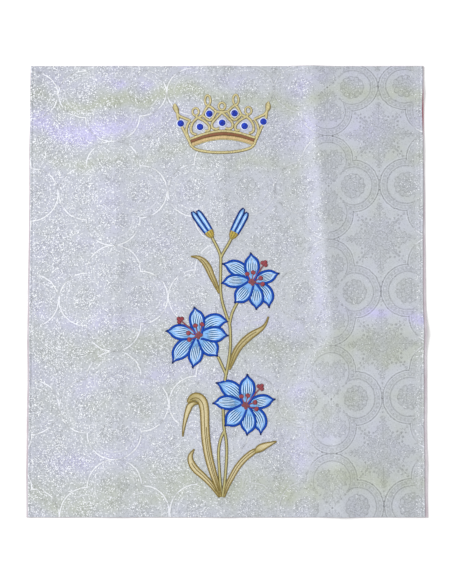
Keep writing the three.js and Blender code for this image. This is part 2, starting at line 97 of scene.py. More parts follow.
class Value:
    """A number's socket, on which Python's operators add Math nodes."""

    def __init__(self, board: "Board", socket: bpy.types.NodeSocket) -> None:
        """Keep the board and the socket."""
        self.board = board
        self.socket = socket

    def maths(self, operation: str, *others: Number) -> "Value":
        """Add a Math node with this number first."""
        return self.board.maths(operation, self, *others)

    def __add__(self, other: Number) -> "Value":
        """This plus other."""
        return self.maths("ADD", other)

    def __radd__(self, other: float) -> "Value":
        """Other plus this."""
        return self.board.maths("ADD", other, self)

    def __sub__(self, other: Number) -> "Value":
        """This less other."""
        return self.maths("SUBTRACT", other)

    def __rsub__(self, other: float) -> "Value":
        """Other less this."""
        return self.board.maths("SUBTRACT", other, self)

    def __mul__(self, other: Number) -> "Value":
        """This times other."""
        return self.maths("MULTIPLY", other)

    def __truediv__(self, other: Number) -> "Value":
        """This divided by other."""
        return self.maths("DIVIDE", other)

    def __pow__(self, other: Number) -> "Value":
        """This to a power."""
        return self.maths("POWER", other)

    def __abs__(self) -> "Value":
        """This without its sign."""
        return self.maths("ABSOLUTE")

    def sine(self) -> "Value":
        """The sine of this."""
        return self.maths("SINE")

    def cosine(self) -> "Value":
        """The cosine of this."""
        return self.maths("COSINE")

    def least(self, other: Number) -> "Value":
        """The lesser of the two."""
        return self.maths("MINIMUM", other)

    def most(self, other: Number) -> "Value":
        """The greater of the two."""
        return self.maths("MAXIMUM", other)

    def rises(self, low: float, high: float) -> "Value":
        """A soft step from 0 at low to 1 at high; low may be the larger."""
        values = {"Value": self, "From Min": low, "From Max": high}
        return self.board.value("ShaderNodeMapRange", {"interpolation_type": "SMOOTHSTEP"}, values, "Result")

    def near(self, place: Number, half: float, soft: float) -> "Value":
        """A line: 1 within half of place, fading out over soft."""
        return abs(self - place).rises(half + soft, half)


class Board:
    """A material's node tree, with its Principled shader."""

    def __init__(self, name: str) -> None:
        """Start a material of that name.

        Args:
            name: The material's name.
        """
        self.material = bpy.data.materials.new(name)
        self.material.use_nodes = True
        self.tree = self.material.node_tree
        self.shader = self.tree.nodes["Principled BSDF"]

    def node(self, kind: str, settings: dict | None = None, values: dict | None = None) -> bpy.types.Node:
        """Add a node.

        Args:
            kind: The node's type.
            settings: Its own properties, set first.
            values: For each socket's name or number, a Value, a socket, or what it is set to.

        Returns:
            The node.
        """
        node = self.tree.nodes.new(kind)
        for key, value in (settings or {}).items():
            setattr(node, key, value)
        for key, value in (values or {}).items():
            self.feed(node.inputs[key], value)
        return node

    def feed(self, socket: bpy.types.NodeSocket, value: object) -> None:
        """Link a value to a socket, or set it.

        Args:
            socket: The socket.
            value: A Value, another socket, or what it is set to.
        """
        if isinstance(value, Value):
            self.tree.links.new(value.socket, socket)
        elif isinstance(value, bpy.types.NodeSocket):
            self.tree.links.new(value, socket)
        elif socket.type == "RGBA":
            socket.default_value = (*value, 1.0)
        else:
            socket.default_value = value

    def value(self, kind: str, settings: dict, values: dict, output: str | int = 0) -> Value:
        """Add a node and take one of its numbers."""
        return Value(self, self.node(kind, settings, values).outputs[output])

    def maths(self, operation: str, *numbers: Number) -> Value:
        """Add a Math node."""
        return self.value("ShaderNodeMath", {"operation": operation}, dict(enumerate(numbers)))

    def attribute(self, name: str) -> Value:
        """A number that the mesh carries at its points."""
        return self.value("ShaderNodeAttribute", {"attribute_name": name}, {}, "Fac")

    def mix(self, share: Number, first: object, second: object) -> object:
        """One colour turning into another by a share."""
        sockets = {"Factor": share, 6: first, 7: second}
        return self.node("ShaderNodeMix", {"data_type": "RGBA"}, sockets).outputs[2]

    def scaled(self, colour: object, by: Number) -> object:
        """A colour made lighter or darker."""
        node = self.node("ShaderNodeVectorMath", {"operation": "SCALE"}, {0: colour, "Scale": by})
        return node.outputs[0]

    def place(self) -> tuple[Value, Value, object]:
        """Object coordinates in millimetres: X, Y and the vector.

        Returns:
            X, Y and the vector.
        """
        vector = self.scaled(self.node("ShaderNodeTexCoord").outputs["Object"], 1 / MM)
        parts = self.node("ShaderNodeSeparateXYZ", None, {0: vector}).outputs
        return Value(self, parts[0]), Value(self, parts[1]), vector

    def vector(self, x: Number, y: Number) -> object:
        """Two numbers as a vector."""
        return self.node("ShaderNodeCombineXYZ", None, {0: x, 1: y}).outputs[0]

    def far(self, x: Number, y: Number) -> Value:
        """How far a point is from the origin."""
        values = {0: self.vector(x, y)}
        return self.value("ShaderNodeVectorMath", {"operation": "LENGTH"}, values, "Value")

    def noise(self, vector: object, grain: float, detail: float, roughness: float) -> Value:
        """Cloudy noise from 0 to 1 whose grain is a size in the vector's units."""
        values = {"Vector": vector, "Scale": 1 / grain, "Detail": detail, "Roughness": roughness}
        return self.value("ShaderNodeTexNoise", {"normalize": True}, values)

    def bump(self, height: Value, distance: float, strength: float) -> object:
        """A bump whose height of 1 stands a distance in metres."""
        values = {"Height": height, "Distance": distance, "Strength": strength}
        return self.node("ShaderNodeBump", None, values).outputs[0]

    def finish(self, colour: object, roughness: object, bump: object = None, **fixed: object) -> Material:
        """Feed the shader and give the material.

        Args:
            colour: The base colour.
            roughness: The roughness.
            bump: A bumped normal, or nothing.
            **fixed: Plain values of other sockets, with _ for a space.

        Returns:
            The material.
        """
        self.feed(self.shader.inputs["Base Color"], colour)
        self.feed(self.shader.inputs["Roughness"], roughness)
        if bump is not None:
            self.feed(self.shader.inputs["Normal"], bump)
        for name, value in fixed.items():
            self.shader.inputs[name.replace("_", " ")].default_value = value
        return self.material


def most_of(values: Sequence[Value]) -> Value:
    """The greatest of several numbers.

    Args:
        values: The numbers.

    Returns:
        The greatest.
    """
    best = values[0]
    for value in values[1:]:
        best = best.most(value)
    return best


@dataclass(frozen=True)
class Step:
    """A soft step: 0 where a number is low and 1 where it is high; low may be the larger."""

    low: float
    high: float

    def of(self, value: Value) -> Value:
        """The step's share."""
        return value.rises(self.low, self.high)


@dataclass(frozen=True)
class Line:
    """A line where a number is near a place, with its half width and its soft edge."""

    at: float
    half: float
    soft: float = 0.6

    def of(self, value: Value) -> Value:
        """The line's share."""
        return value.near(self.at, self.half, self.soft)


@dataclass(frozen=True)
class Span:
    """What a number from 0 to 1 stands for: the least it comes to, and how much more it can be."""

    least: float
    more: float

    def of(self, value: Value) -> Value:
        """The number that it stands for."""
        return value * self.more + self.least


# How the cloth lies


@dataclass(frozen=True)
class Crease:
    """A storage crease: a soft ridge that drifts by lean and fades away from where it is strongest."""

    at: float
    lean: float
    height: float
    reach: float
    strongest: float
    spread: float
    floor: float

    def rise(self, off: Array, along: Array, soft: float) -> Array:
        """The ridge's height.

        Args:
            off: How far points are from the crest.
            along: Where they are along it.
            soft: How far the crest is rounded to each side.

        Returns:
            The heights.
        """
        rounded = np.sqrt(off * off + soft * soft) - 0.5 * soft
        side = np.maximum(0.0, 1 - rounded / self.reach)
        strength = self.floor + (1 - self.floor) * bell(along, self.strongest, self.spread)
        return self.height * strength * side * side


@dataclass(frozen=True)
class Ripple:
    """A faint wave in the cloth: its length, the way it runs, its height and where it starts."""

    length: float
    bearing: float
    height: float
    start: float

    def rise(self, x: Array, y: Array) -> Array:
        """The wave's height over its troughs.

        Args:
            x: Across the cloth.
            y: Up the cloth.

        Returns:
            The heights.
        """
        angle = math.radians(self.bearing)
        along = x * math.cos(angle) + y * math.sin(angle)
        return 0.5 * self.height * (1 + np.sin(2 * math.pi * along / self.length + self.start))


@dataclass(frozen=True)
class Lay:
    """The folded surface that the underside of the cloth follows."""

    soft: float = 2.2
    probe: float = 1.5
    lengthwise: tuple[Crease, ...] = (
        Crease(-137, -0.010, 2.0, 46, 40, 190, 0.45),
        Crease(-6, 0.004, 2.8, 44, 140, 120, 0.40),
        Crease(126, -0.066, 5.0, 38, 60, 210, 0.50),
    )
    crosswise: tuple[Crease, ...] = (
        Crease(-224, 0.010, 1.8, 34, 60, 180, 0.40),
        Crease(-57, 0.012, 4.0, 38, 120, 260, 0.55),
        Crease(176, -0.015, 2.0, 34, 40, 160, 0.35),
        Crease(249, 0.008, 2.2, 26, 150, 220, 0.50),
    )
    ripples: tuple[Ripple, ...] = (
        Ripple(71, 12, 0.22, 0.4),
        Ripple(47, 101, 0.16, 2.1),
        Ripple(33, 64, 0.10, 4.4),
        Ripple(27, 152, 0.09, 1.3),
    )

    def height(self, x: Array, y: Array) -> Array:
        """The height of the cloth's underside over the surface that it lies on.

        Args:
            x: Across the cloth.
            y: Up the cloth.

        Returns:
            The heights.
        """
        ridges = [c.rise(x - c.at - c.lean * y, y, self.soft) for c in self.lengthwise]
        ridges += [c.rise(y - c.at - c.lean * x, x, self.soft) for c in self.crosswise]
        folded = np.sqrt(sum(r * r for r in ridges))
        return folded + sum(ripple.rise(x, y) for ripple in self.ripples)

    def slope(self, x: Array, y: Array) -> tuple[Array, Array]:
        """How steeply the cloth climbs along X and along Y.

        Args:
            x: Across the cloth.
            y: Up the cloth.

        Returns:
            The two slopes.
        """
        step = self.probe
        along_x = (self.height(x + step, y) - self.height(x - step, y)) / (2 * step)
        along_y = (self.height(x, y + step) - self.height(x, y - step)) / (2 * step)
        return along_x, along_y


LAY = Lay()
PANEL_TOP = 2.5


def to_object(name: str, bm: Mesh, material: Material, smooth: bool = True) -> Piece:
    """Turn a bmesh in millimetres into a piece that rides on the part.

    Args:
        name: The piece's name.
        bm: Its mesh, which is freed.
        material: Its finish.
        smooth: Whether its faces are shaded smooth.

    Returns:
        The piece, at the origin, with its place in its mesh.
    """
    bmesh.ops.recalc_face_normals(bm, faces=bm.faces)
    bmesh.ops.scale(bm, vec=(MM, MM, MM), verts=bm.verts)
    for face in bm.faces:
        face.smooth = smooth
    mesh = bpy.data.meshes.new(name)
    bm.to_mesh(mesh)
    bm.free()
    mesh.materials.append(material)
    piece = bpy.data.objects.new(name, mesh)
    bpy.context.scene.collection.objects.link(piece)
    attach(piece, "root")
    LOG.info("%s: %d faces", name, len(mesh.polygons))
    return piece


# The two sheets of cloth


@dataclass(frozen=True)
class Cloth:
    """One closed sheet on the folds, with a rolled edge and a stitched groove inside it."""

    half_width: float
    half_length: float
    under: float
    top: float
    spacing: float
    edge_steps: tuple[float, ...]
    roll_depth: float
    side_inset: Callable[[Array, Array], Array]
    inset_reach: float = 12.0

    def lines(self, half: float) -> list[float]:
        """Where grid lines run from one edge to the other, closer together at the edges.

        Args:
            half: Half of the sheet's size that way.

        Returns:
            The places, from low to high.
        """
        inner = half - self.edge_steps[-1]
        count = round(2 * inner / self.spacing)
        middle = [-inner + 2 * inner * n / count for n in range(count + 1)]
        left = [step - half for step in self.edge_steps[:-1]]
        return [*left, *middle, *[-x for x in reversed(left)]]

    def grid(self) -> Mesh:
        """A flat closed sheet: Z is 0 on its underside and 1 on its face.

        Returns:
            The sheet, with no folds yet.
        """
        across, up = self.lines(self.half_width), self.lines(self.half_length)
        bm = bmesh.new()
        bmesh.ops.create_grid(bm, x_segments=len(across) - 1, y_segments=len(up) - 1, size=1)
        for v in bm.verts:
            i = round((v.co.x + 1) / 2 * (len(across) - 1))
            j = round((v.co.y + 1) / 2 * (len(up) - 1))
            v.co = (across[i], up[j], 0)
        made = bmesh.ops.extrude_face_region(bm, geom=bm.faces[:], use_keep_orig=True)
        raised = [v for v in made["geom"] if isinstance(v, bmesh.types.BMVert)]
        bmesh.ops.translate(bm, vec=(0, 0, 1), verts=raised)
        return bm

    def lay_down(self, bm: Mesh, relief: Callable[[Array, Array], Array]) -> None:
        """Lay the flat sheet on the folds.

        Args:
            bm: The flat sheet.
            relief: Height to add to the face, from X and Y.
        """
        points = np.array([v.co for v in bm.verts])
        x, y, level = points.T
        from_side = self.half_width - np.abs(x)
        from_edge = np.minimum(from_side, self.half_length - np.abs(y))
        x = x - np.sign(x) * self.side_inset(x, y) * (1 - np.clip(from_side / self.inset_reach, 0, 1))
        thick = self.top - self.under
        roll = np.sqrt(np.clip(1 - (1 - np.clip(from_edge / self.roll_depth, 0, 1)) ** 2, 0, 1))
        middle = 0.5 * (self.top + self.under)
        face = middle + 0.5 * thick * roll + relief(x, y)
        back = middle - 0.5 * thick * roll
        z = LAY.height(x, y) + np.where(level > 0.5, face, back)
        for v, place in zip(bm.verts, np.stack([x, y, z], axis=1)):
            v.co = place


@dataclass(frozen=True)
class Edging:
    """The turned side edge: a puffed roll, a groove and the small stitches that hold it."""

    roll_at: float = 1.9
    roll_rise: float = 0.55
    roll_reach: float = 1.3
    roll_pulled: float = 0.35
    groove_at: float = 4.2
    groove_depth: float = 0.5
    groove_half: float = 1.15
    groove_loose: float = 0.45
    swell_at: float = 7.5
    swell_rise: float = 0.25
    swell_reach: float = 2.2
    right_start: float = 3.0
    stitch_every: float = 7.6
    stitch_size: Row = (0.42, 1.15, 0.3)
    stitch_sunk: float = 0.55
    stitch_inset: float = 0.65
    end_margin: float = 6.0
    pull_reach: float = 2.4
    drift: float = 1.4

    def wander(self, n: Array) -> Array:
        """How far stitch n sits from its even place."""
        return self.drift * np.sin(n * 2.4 + 1.3 * np.sin(n * 0.7))

    def pucker(self, x: Array, y: Array) -> Array:
        """How deep the stitches pull the cloth at a height up the side, from 0 to 1.

        Args:
            x: Across the cloth.
            y: Up the cloth.

        Returns:
            The shares.
        """
        start = np.where(x > 0, self.right_start, 0.0)
        n = np.round((y - start) / self.stitch_every)
        return bell(y - start - n * self.stitch_every - self.wander(n), 0, self.pull_reach)

    def relief(self, x: Array, y: Array, half_width: float) -> Array:
        """The height that the edging adds to the cloth's face.

        Args:
            x: Across the cloth.
            y: Up the cloth.
            half_width: Half of the cloth's width.

        Returns:
            The heights.
        """
        inside = half_width - np.abs(x)
        pull = self.pucker(x, y)
        roll = self.roll_rise * bell(inside, self.roll_at, self.roll_reach) * (1 - self.roll_pulled * pull)
        groove = self.groove_depth * bell(inside, self.groove_at, self.groove_half)
        groove = groove * (self.groove_loose + (1 - self.groove_loose) * pull)
        swell = self.swell_rise * bell(inside, self.swell_at, self.swell_reach)
        return roll - groove + swell * (1 - pull)


@dataclass(frozen=True)
class CoverCloth:
    """The brocade panel, its lining and the stitches down both sides."""

    edging: Edging = Edging()
    panel_under: float = 1.25
    panel_spacing: float = 3.1
    panel_steps: tuple[float, ...] = (
        0.0, 0.12, 0.4, 0.8, 1.3, 1.9, 2.5, 3.1, 3.6, 4.2, 4.8, 5.5, 6.5, 8.0, 10.0)
    panel_roll: float = 1.1
    lining_top: float = 1.0
    lining_spacing: float = 4.4
    lining_steps: tuple[float, ...] = (0.0, 0.1, 0.3, 0.7, 1.5, 3.0, 5.0)
    lining_roll: float = 0.5
    peep: float = 1.5
    peep_at: float = 228.0
    peep_reach: float = 48.0
    rim: float = 1.9
    rim_right: float = 1.7
    rim_below: float = 110.0
    rim_fade: float = 70.0
    spread: float = 1.1
    spread_below: float = 90.0
    spread_fade: float = 90.0
    wave: float = 0.22
    wave_length: float = 31.0
    short_wave: float = 0.6
    short_wave_length: float = 13.0

    def panel(self, finish: Material) -> Piece:
        """Build the brocade panel.

        Args:
            finish: Its finish.

        Returns:
            The panel.
        """
        half_width = frame_half("panel", 0)
        half_length = frame_half("panel", 1)
        cloth = Cloth(half_width, half_length, self.panel_under, PANEL_TOP, self.panel_spacing,
                      self.panel_steps, self.panel_roll, self.peep_inset)
        bm = cloth.grid()
        cloth.lay_down(bm, lambda x, y: self.edging.relief(x, y, half_width))
        self.mark(bm)
        piece = to_object("panel_cloth", bm, finish)
        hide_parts("panel")
        return piece

    def lining(self, finish: Material) -> Piece:
        """Build the lining.

        Args:
            finish: Its finish.

        Returns:
            The lining.
        """
        half_width = frame_half("lining", 0)
        half_length = frame_half("lining", 1)
        cloth = Cloth(half_width, half_length, 0.0, self.lining_top, self.lining_spacing,
                      self.lining_steps, self.lining_roll, self.wander)
        bm = cloth.grid()
        cloth.lay_down(bm, lambda x, y: np.zeros_like(x))
        piece = to_object("lining_cloth", bm, finish)
        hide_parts("lining")
        return piece

    def wander(self, x: Array, y: Array) -> Array:
        """How far a side is drawn in: the sides spread a little downwards and wander.

        Args:
            x: Across the cloth.
            y: Up the cloth.

        Returns:
            The distances, below 0 where a side stands out.
        """
        side = np.sign(x)
        spread = 0.5 * self.spread * (1 + np.tanh((y - self.spread_below) / self.spread_fade))
        waves = np.sin(y / self.wave_length + side)
        waves = waves + self.short_wave * np.sin(y / self.short_wave_length + 2 * side)
        return spread - self.spread + self.wave * waves

    def peep_inset(self, x: Array, y: Array) -> Array:
        """How far the panel's sides are drawn in: the lining shows low down and at the upper right.

        Args:
            x: Across the cloth.
            y: Up the cloth.

        Returns:
            The distances.
        """
        right = x > 0
        peep = np.where(right, self.peep * bell(y, self.peep_at, self.peep_reach), 0.0)
        rim = self.rim * falls(y, self.rim_below, self.rim_fade) * np.where(right, self.rim_right, 1.0)
        return peep + rim + self.wander(x, y)

    def mark(self, bm: Mesh) -> None:
        """Give the panel's points their painted reflection tint, their share of painted glints and their
        painted light and shade.

        Args:
            bm: The panel's mesh.
        """
        points = np.array([v.co for v in bm.verts])
        x, y, _ = points.T
        values_of = {"tint": CLOUDS.tint(x, y), "glint": CLOUDS.glint(x, y), "sheen": CLOUDS.sheen(x, y)}
        for name, values in values_of.items():
            layer = bm.verts.layers.float.new(name)
            for v, value in zip(bm.verts, values):
                v[layer] = value

    def stitches(self, finish: Material) -> Piece:
        """Build the small stitches that hold the turned sides.

        Args:
            finish: Its finish.

        Returns:
            The stitches, as one piece.
        """
        half_width = frame_half("panel", 0)
        edging = self.edging
        reach = frame_half("panel", 1) - edging.end_margin
        last = int(reach / edging.stitch_every)
        bm = bmesh.new()
        for side in (-1, 1):
            start = edging.right_start if side > 0 else 0.0
            for n in range(-last, last + 1):
                y = start + n * edging.stitch_every + float(edging.wander(np.array(float(n))))
                if abs(y) > reach:
                    continue
                inset = float(self.peep_inset(np.array(side * half_width), np.array(y)))
                x = side * (half_width - edging.groove_at - inset * edging.stitch_inset)
                ball = bmesh.ops.create_icosphere(bm, subdivisions=1, radius=1)["verts"]
                bmesh.ops.scale(bm, vec=edging.stitch_size, verts=ball)
                lift = PANEL_TOP + float(LAY.height(np.array(x), np.array(y))) - edging.stitch_sunk
                bmesh.ops.translate(bm, vec=(x, y, lift), verts=ball)
        piece = to_object("edge_stitches", bm, finish)
        return piece


def frame_half(node: str, axis: int) -> float:
    """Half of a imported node's size along an axis, in millimetres."""
    low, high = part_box(node)
    return 0.5 * (high[axis] - low[axis]) / MM


@dataclass(frozen=True)
class Cloud:
    """A soft patch of a painted reflection tint or of painted light and shade: its middle, its reach along X
    and Y, and how strong it is.
    """

    x: float
    y: float
    reach_x: float
    reach_y: float
    strength: float

    def share(self, x: Array, y: Array) -> Array:
        """How much of the patch shows at points."""
        off_x, off_y = (x - self.x) / self.reach_x, (y - self.y) / self.reach_y
        return self.strength * np.exp(-(off_x**2 + off_y**2))


@dataclass(frozen=True)
class Hump:
    """A soft rise or dip along a line: its middle, its reach and its strength."""

    at: float
    reach: float
    strength: float

    def share(self, along: Array) -> Array:
        """How much of it shows at places along the line."""
        return self.strength * bell(along, self.at, self.reach)


@dataclass(frozen=True)
class Fall:
    """A soft step down along a line: its middle, its reach and the strength that it falls from."""

    at: float
    reach: float
    strength: float = 1.0

    def share(self, along: Array) -> Array:
        """How much is left at places along the line."""
        return self.strength * falls(along, self.at, self.reach)


@dataclass(frozen=True)
class Sway:
    """A wavering: how far it goes, the length of one radian of it, and where it starts."""

    far: float
    length: float
    start: float = 0.0

    def share(self, along: Array) -> Array:
        """How far it goes at places along a line."""
        return self.far * np.sin(along / self.length + self.start)


@dataclass(frozen=True)
class Clouds:
    """Where lilac and greenish reflections are painted on the metal thread, where glints are painted, and the
    painted light and shade of each fold's panel.
    """

    # Painted reflections: cloudy bands and patches where the cloth is painted lilac (above 0) and greenish
    # (below 0).
    painted_reflection_patches: tuple[Cloud, ...] = (
        Cloud(0, 268, 420, 10, 0.25),
        Cloud(0, 243, 420, 12, -0.6),
        Cloud(-140, 241, 110, 9, -0.35),
        Cloud(0, 213, 420, 15, 0.3),
        Cloud(-190, 205, 62, 11, 1.15),
        Cloud(-157, 262, 10, 6, 0.9),
        Cloud(-124, 261, 9, 6, 0.6),
        Cloud(150, 196, 60, 12, 0.3),
        Cloud(0, 166, 420, 11, -0.4),
        Cloud(-170, 171, 70, 10, -0.3),
        Cloud(-160, 110, 110, 55, 0.12),
        Cloud(0, -38, 420, 13, 0.3),
        Cloud(167, -33, 16, 6, 0.9),
        Cloud(232, -38, 20, 9, 0.9),
        Cloud(0, -70, 500, 21, -0.45),
        Cloud(190, -96, 80, 18, -0.3),
        Cloud(-30, -112, 300, 14, 0.32),
        Cloud(0, -142, 420, 22, -0.25),
        Cloud(60, -184, 120, 18, 0.2),
        Cloud(-180, -206, 90, 13, 0.3),
        Cloud(60, -242, 300, 22, -0.6),
        Cloud(-180, -266, 150, 14, -0.5),
    )
    # Painted light and shade: patches where the cloth is painted lighter or darker.
    painted_light_patches: tuple[Cloud, ...] = (
        Cloud(-240, 0, 26, 2000, -0.055),
        Cloud(-250, 258, 50, 45, -0.10),
        Cloud(-135, -62, 45, 14, -0.05),
        Cloud(-150, 236, 110, 25, -0.045),
        Cloud(96, 262, 22, 40, -0.06),
        Cloud(0, 276, 2000, 11, -0.035),
        Cloud(238, 212, 16, 32, -0.06),
        Cloud(60, 20, 75, 90, 0.028),
        Cloud(60, -150, 75, 75, 0.06),
        Cloud(-45, -190, 70, 50, 0.055),
        Cloud(-20, 10, 40, 110, 0.025),
        Cloud(137, -170, 14, 95, 0.05),
        Cloud(205, -60, 60, 150, 0.03),
    )
    sway_x: tuple[Sway, ...] = (Sway(14, 23), Sway(9, 9, 1))
    sway_y: tuple[Sway, ...] = (Sway(9, 37), Sway(5, 15, 2), Sway(2, 6))
    # A painted lilac reflection next to the crease, and the cloth painted a little greener to the right.
    lilac_reflection_glow: Hump = Hump(-14, 10, 0.3)
    greener_reflection_right: float = 0.0004
    crease_x: float = 131.0
    crease_lean: float = -0.086
    lower_x: float = 107.0
    below: Fall = Fall(-75, 14)
    # A painted glow along the crease, a painted highlight down the lower ridge, and the painted patches
    # evened out just past the crease.
    glows: tuple[Hump, ...] = (Hump(-8, 12, 0.06), Hump(-44, 14, -0.025))
    ridge: Hump = Hump(137, 8, 0.035)
    even_past: Hump = Hump(14, 14, 1.0)
    # Painted glints: how much sparkle is painted across the cloth, more on the crease's crest and near the
    # right side.
    least_glint: float = 0.14
    glint_falls: tuple[Fall, ...] = (Fall(-15, 25, 0.20), Fall(-148, 14, 0.28))
    glint_humps: tuple[Hump, ...] = (Hump(-135, 12, -0.12), Hump(246, 9, 0.36))
    glint_end: Fall = Fall(-2, 10, 0.20)
    crest: Hump = Hump(-10, 11, 0.10)
    crest_lost: float = 0.6

    def tint(self, x: Array, y: Array) -> Array:
        """Above 0 a lilac reflection is painted on the cloth, below 0 a greenish one.

        Args:
            x: Across the cloth.
            y: Up the cloth.

        Returns:
            The painted reflection tints.
        """
        over_x = sum((sway.share(y) for sway in self.sway_x), x)
        over_y = sum((sway.share(x) for sway in self.sway_y), y)
        patches = sum(cloud.share(over_x, over_y) for cloud in self.painted_reflection_patches)
        return patches - self.greener_reflection_right * x + self.lilac_reflection_glow.share(self.past_crease(x, y))

    def past_crease(self, x: Array, y: Array) -> Array:
        """How far points are to the right of where the light falls off, which is further left low down."""
        lower = self.below.share(y)
        return x - (1 - lower) * (self.crease_x + self.crease_lean * y) - lower * self.lower_x

    def sheen(self, x: Array, y: Array) -> Array:
        """The painted light and shade: how much lighter or darker the cloth is painted than its middle tone,
        panel by panel between the folds.

        Args:
            x: Across the cloth.
            y: Up the cloth.

        Returns:
            What is added to a shade of 1.
        """
        past = self.past_crease(x, y)
        lower = self.below.share(y)
        patches = sum(cloud.share(x, y) for cloud in self.painted_light_patches)
        patches = patches * (1 - (1 - lower) * self.even_past.share(past))
        return patches + sum(glow.share(past) for glow in self.glows) + self.ridge.share(x) * lower

    def glint(self, x: Array, y: Array) -> Array:
        """The share of painted glints, from about 0 to 1; it also says where the pattern gets its painted
        light.

        Args:
            x: Across the cloth.
            y: Up the cloth.

        Returns:
            The shares.
        """
        past = self.past_crease(x, y)
        crest = self.crest.share(past) * (1 - self.crest_lost * self.below.share(y))
        across = sum(part.share(x) for part in (*self.glint_falls, *self.glint_humps))
        return self.least_glint + self.glint_end.share(past) + crest + across


CLOUDS = Clouds()


# Finishes of the cloth


@dataclass(frozen=True)
class FrameBand:
    """The frame round the four lobes: a strong line and a faint one, with rails and pearls between."""

    lobe: float
    outer: Line = Line(-0.5, 0.55, 0.45)
    # Lines beside the strong line, painted lighter or darker as the painted light and shade of a raised line.
    beside: tuple[Line, ...] = (Line(1.2, 0.35), Line(-2.0, 0.2, 0.5))
    inner: Line = Line(-9.6, 0.55)
    inner_from: Step = Step(28, 33)
    inner_share: float = 0.6
    inner_strong: float = 0.45
    rails: tuple[Line, ...] = (Line(-3.1, 0.2, 0.5), Line(-6.9, 0.2, 0.5))
    pearls: Line = Line(-5.0, 1.2)
    pearl_turns: float = 34
    pearl_gap: Step = Step(-0.2, 0.5)
    between_from: Step = Step(26, 31)
    between_share: float = 0.8
    ground: tuple[Step, Step] = (Step(-1.4, -2.2), Step(-10.0, -9.2))
    ground_from: Step = Step(24, 30)
    ground_share: float = 0.3
    nearer: Step = Step(0, 0.5)

    def draw(self, board: Board, ax: Value, ay: Value) -> tuple[Value, Value, Value, Value]:
        """Draw the frame.

        Args:
            board: The material's nodes.
            ax: Across from the quatrefoil's middle, without its sign.
            ay: Up from the quatrefoil's middle, without its sign.

        Returns:
            The share of figure, of fine line, of the strong line and of the painted light and shade beside
            that.
        """
        side = board.far(ax - self.lobe, ay) - self.lobe
        end = board.far(ax, ay - self.lobe) - self.lobe
        edge = side.least(end)
        out = board.far(ax, ay)
        turn = board.maths("ARCTAN2", ay, ax - self.lobe)
        other = board.maths("ARCTAN2", ax, ay - self.lobe)
        angle = other + (turn - other) * self.nearer.of(end - side)
        beside = most_of([line.of(edge) for line in self.beside])
        inner = self.inner.of(edge) * self.inner_from.of(out)
        between = self.between_from.of(out)
        rails = most_of([line.of(edge) for line in self.rails]) * between
        pearls = self.pearl_gap.of((angle * self.pearl_turns).sine()) * self.pearls.of(edge) * between
        ground = self.ground[0].of(edge) * self.ground[1].of(edge) * self.ground_from.of(out)
        fine = (pearls * self.between_share).most(rails * self.between_share).most(inner * self.inner_share)
        strong = self.outer.of(edge).most(inner * self.inner_strong)
        return ground * self.ground_share, fine, strong, beside


@dataclass(frozen=True)
class Rosette:
    """The round rosette in the side lobes. A ring is its number of waves, their height and its line."""

    middle: float = 33.4
    radius: float = 13.8
    scallops: float = 5.5
    scallop_depth: float = 2.2
    body: Step = Step(0.3, -0.3)
    outline: Line = Line(0, 0.4)
    rings: tuple[tuple[float, float, Line], ...] = ((9, -0.9, Line(9.8, 0.35)), (6, 0.8, Line(5.0, 0.35)))
    dots_out: float = 1.9
    dots_round: float = 7
    dot_size: Step = Step(0.1, 0.5)
    dots_within: Step = Step(9.4, 8.4)
    petals_round: float = 11
    petal_size: Step = Step(0.4, 0.9)
    petals_from: Step = Step(10, 11)
    petals_to: Step = Step(-0.3, -1.0)
    faint: float = 0.8

    def draw(self, board: Board, ax: Value, ay: Value) -> tuple[Value, Value]:
        """The rosette's body and its lines.

        Args:
            board: The material's nodes.
            ax: Across from the quatrefoil's middle, without its sign.
            ay: Up from the quatrefoil's middle, without its sign.

        Returns:
            The body and the lines.
        """
        across = ax - self.middle
        reach = board.far(across, ay)
        angle = board.maths("ARCTAN2", ay, across)
        lobes = abs((angle * self.scallops).cosine()) ** 0.5
        rim = reach - lobes * self.scallop_depth - self.radius
        rings = [line.of(reach + (angle * waves).cosine() * high) for waves, high, line in self.rings]
        dots = (reach * self.dots_out).sine() * (angle * self.dots_round).sine()
        core = self.dot_size.of(dots) * self.dots_within.of(reach)
        petals = self.petal_size.of((angle * self.petals_round).sine()) * self.petals_from.of(reach)
        petals = petals * self.petals_to.of(rim)
        lines = most_of((self.outline.of(rim), *rings, core * self.faint, petals * self.faint))
        return self.body.of(rim), lines


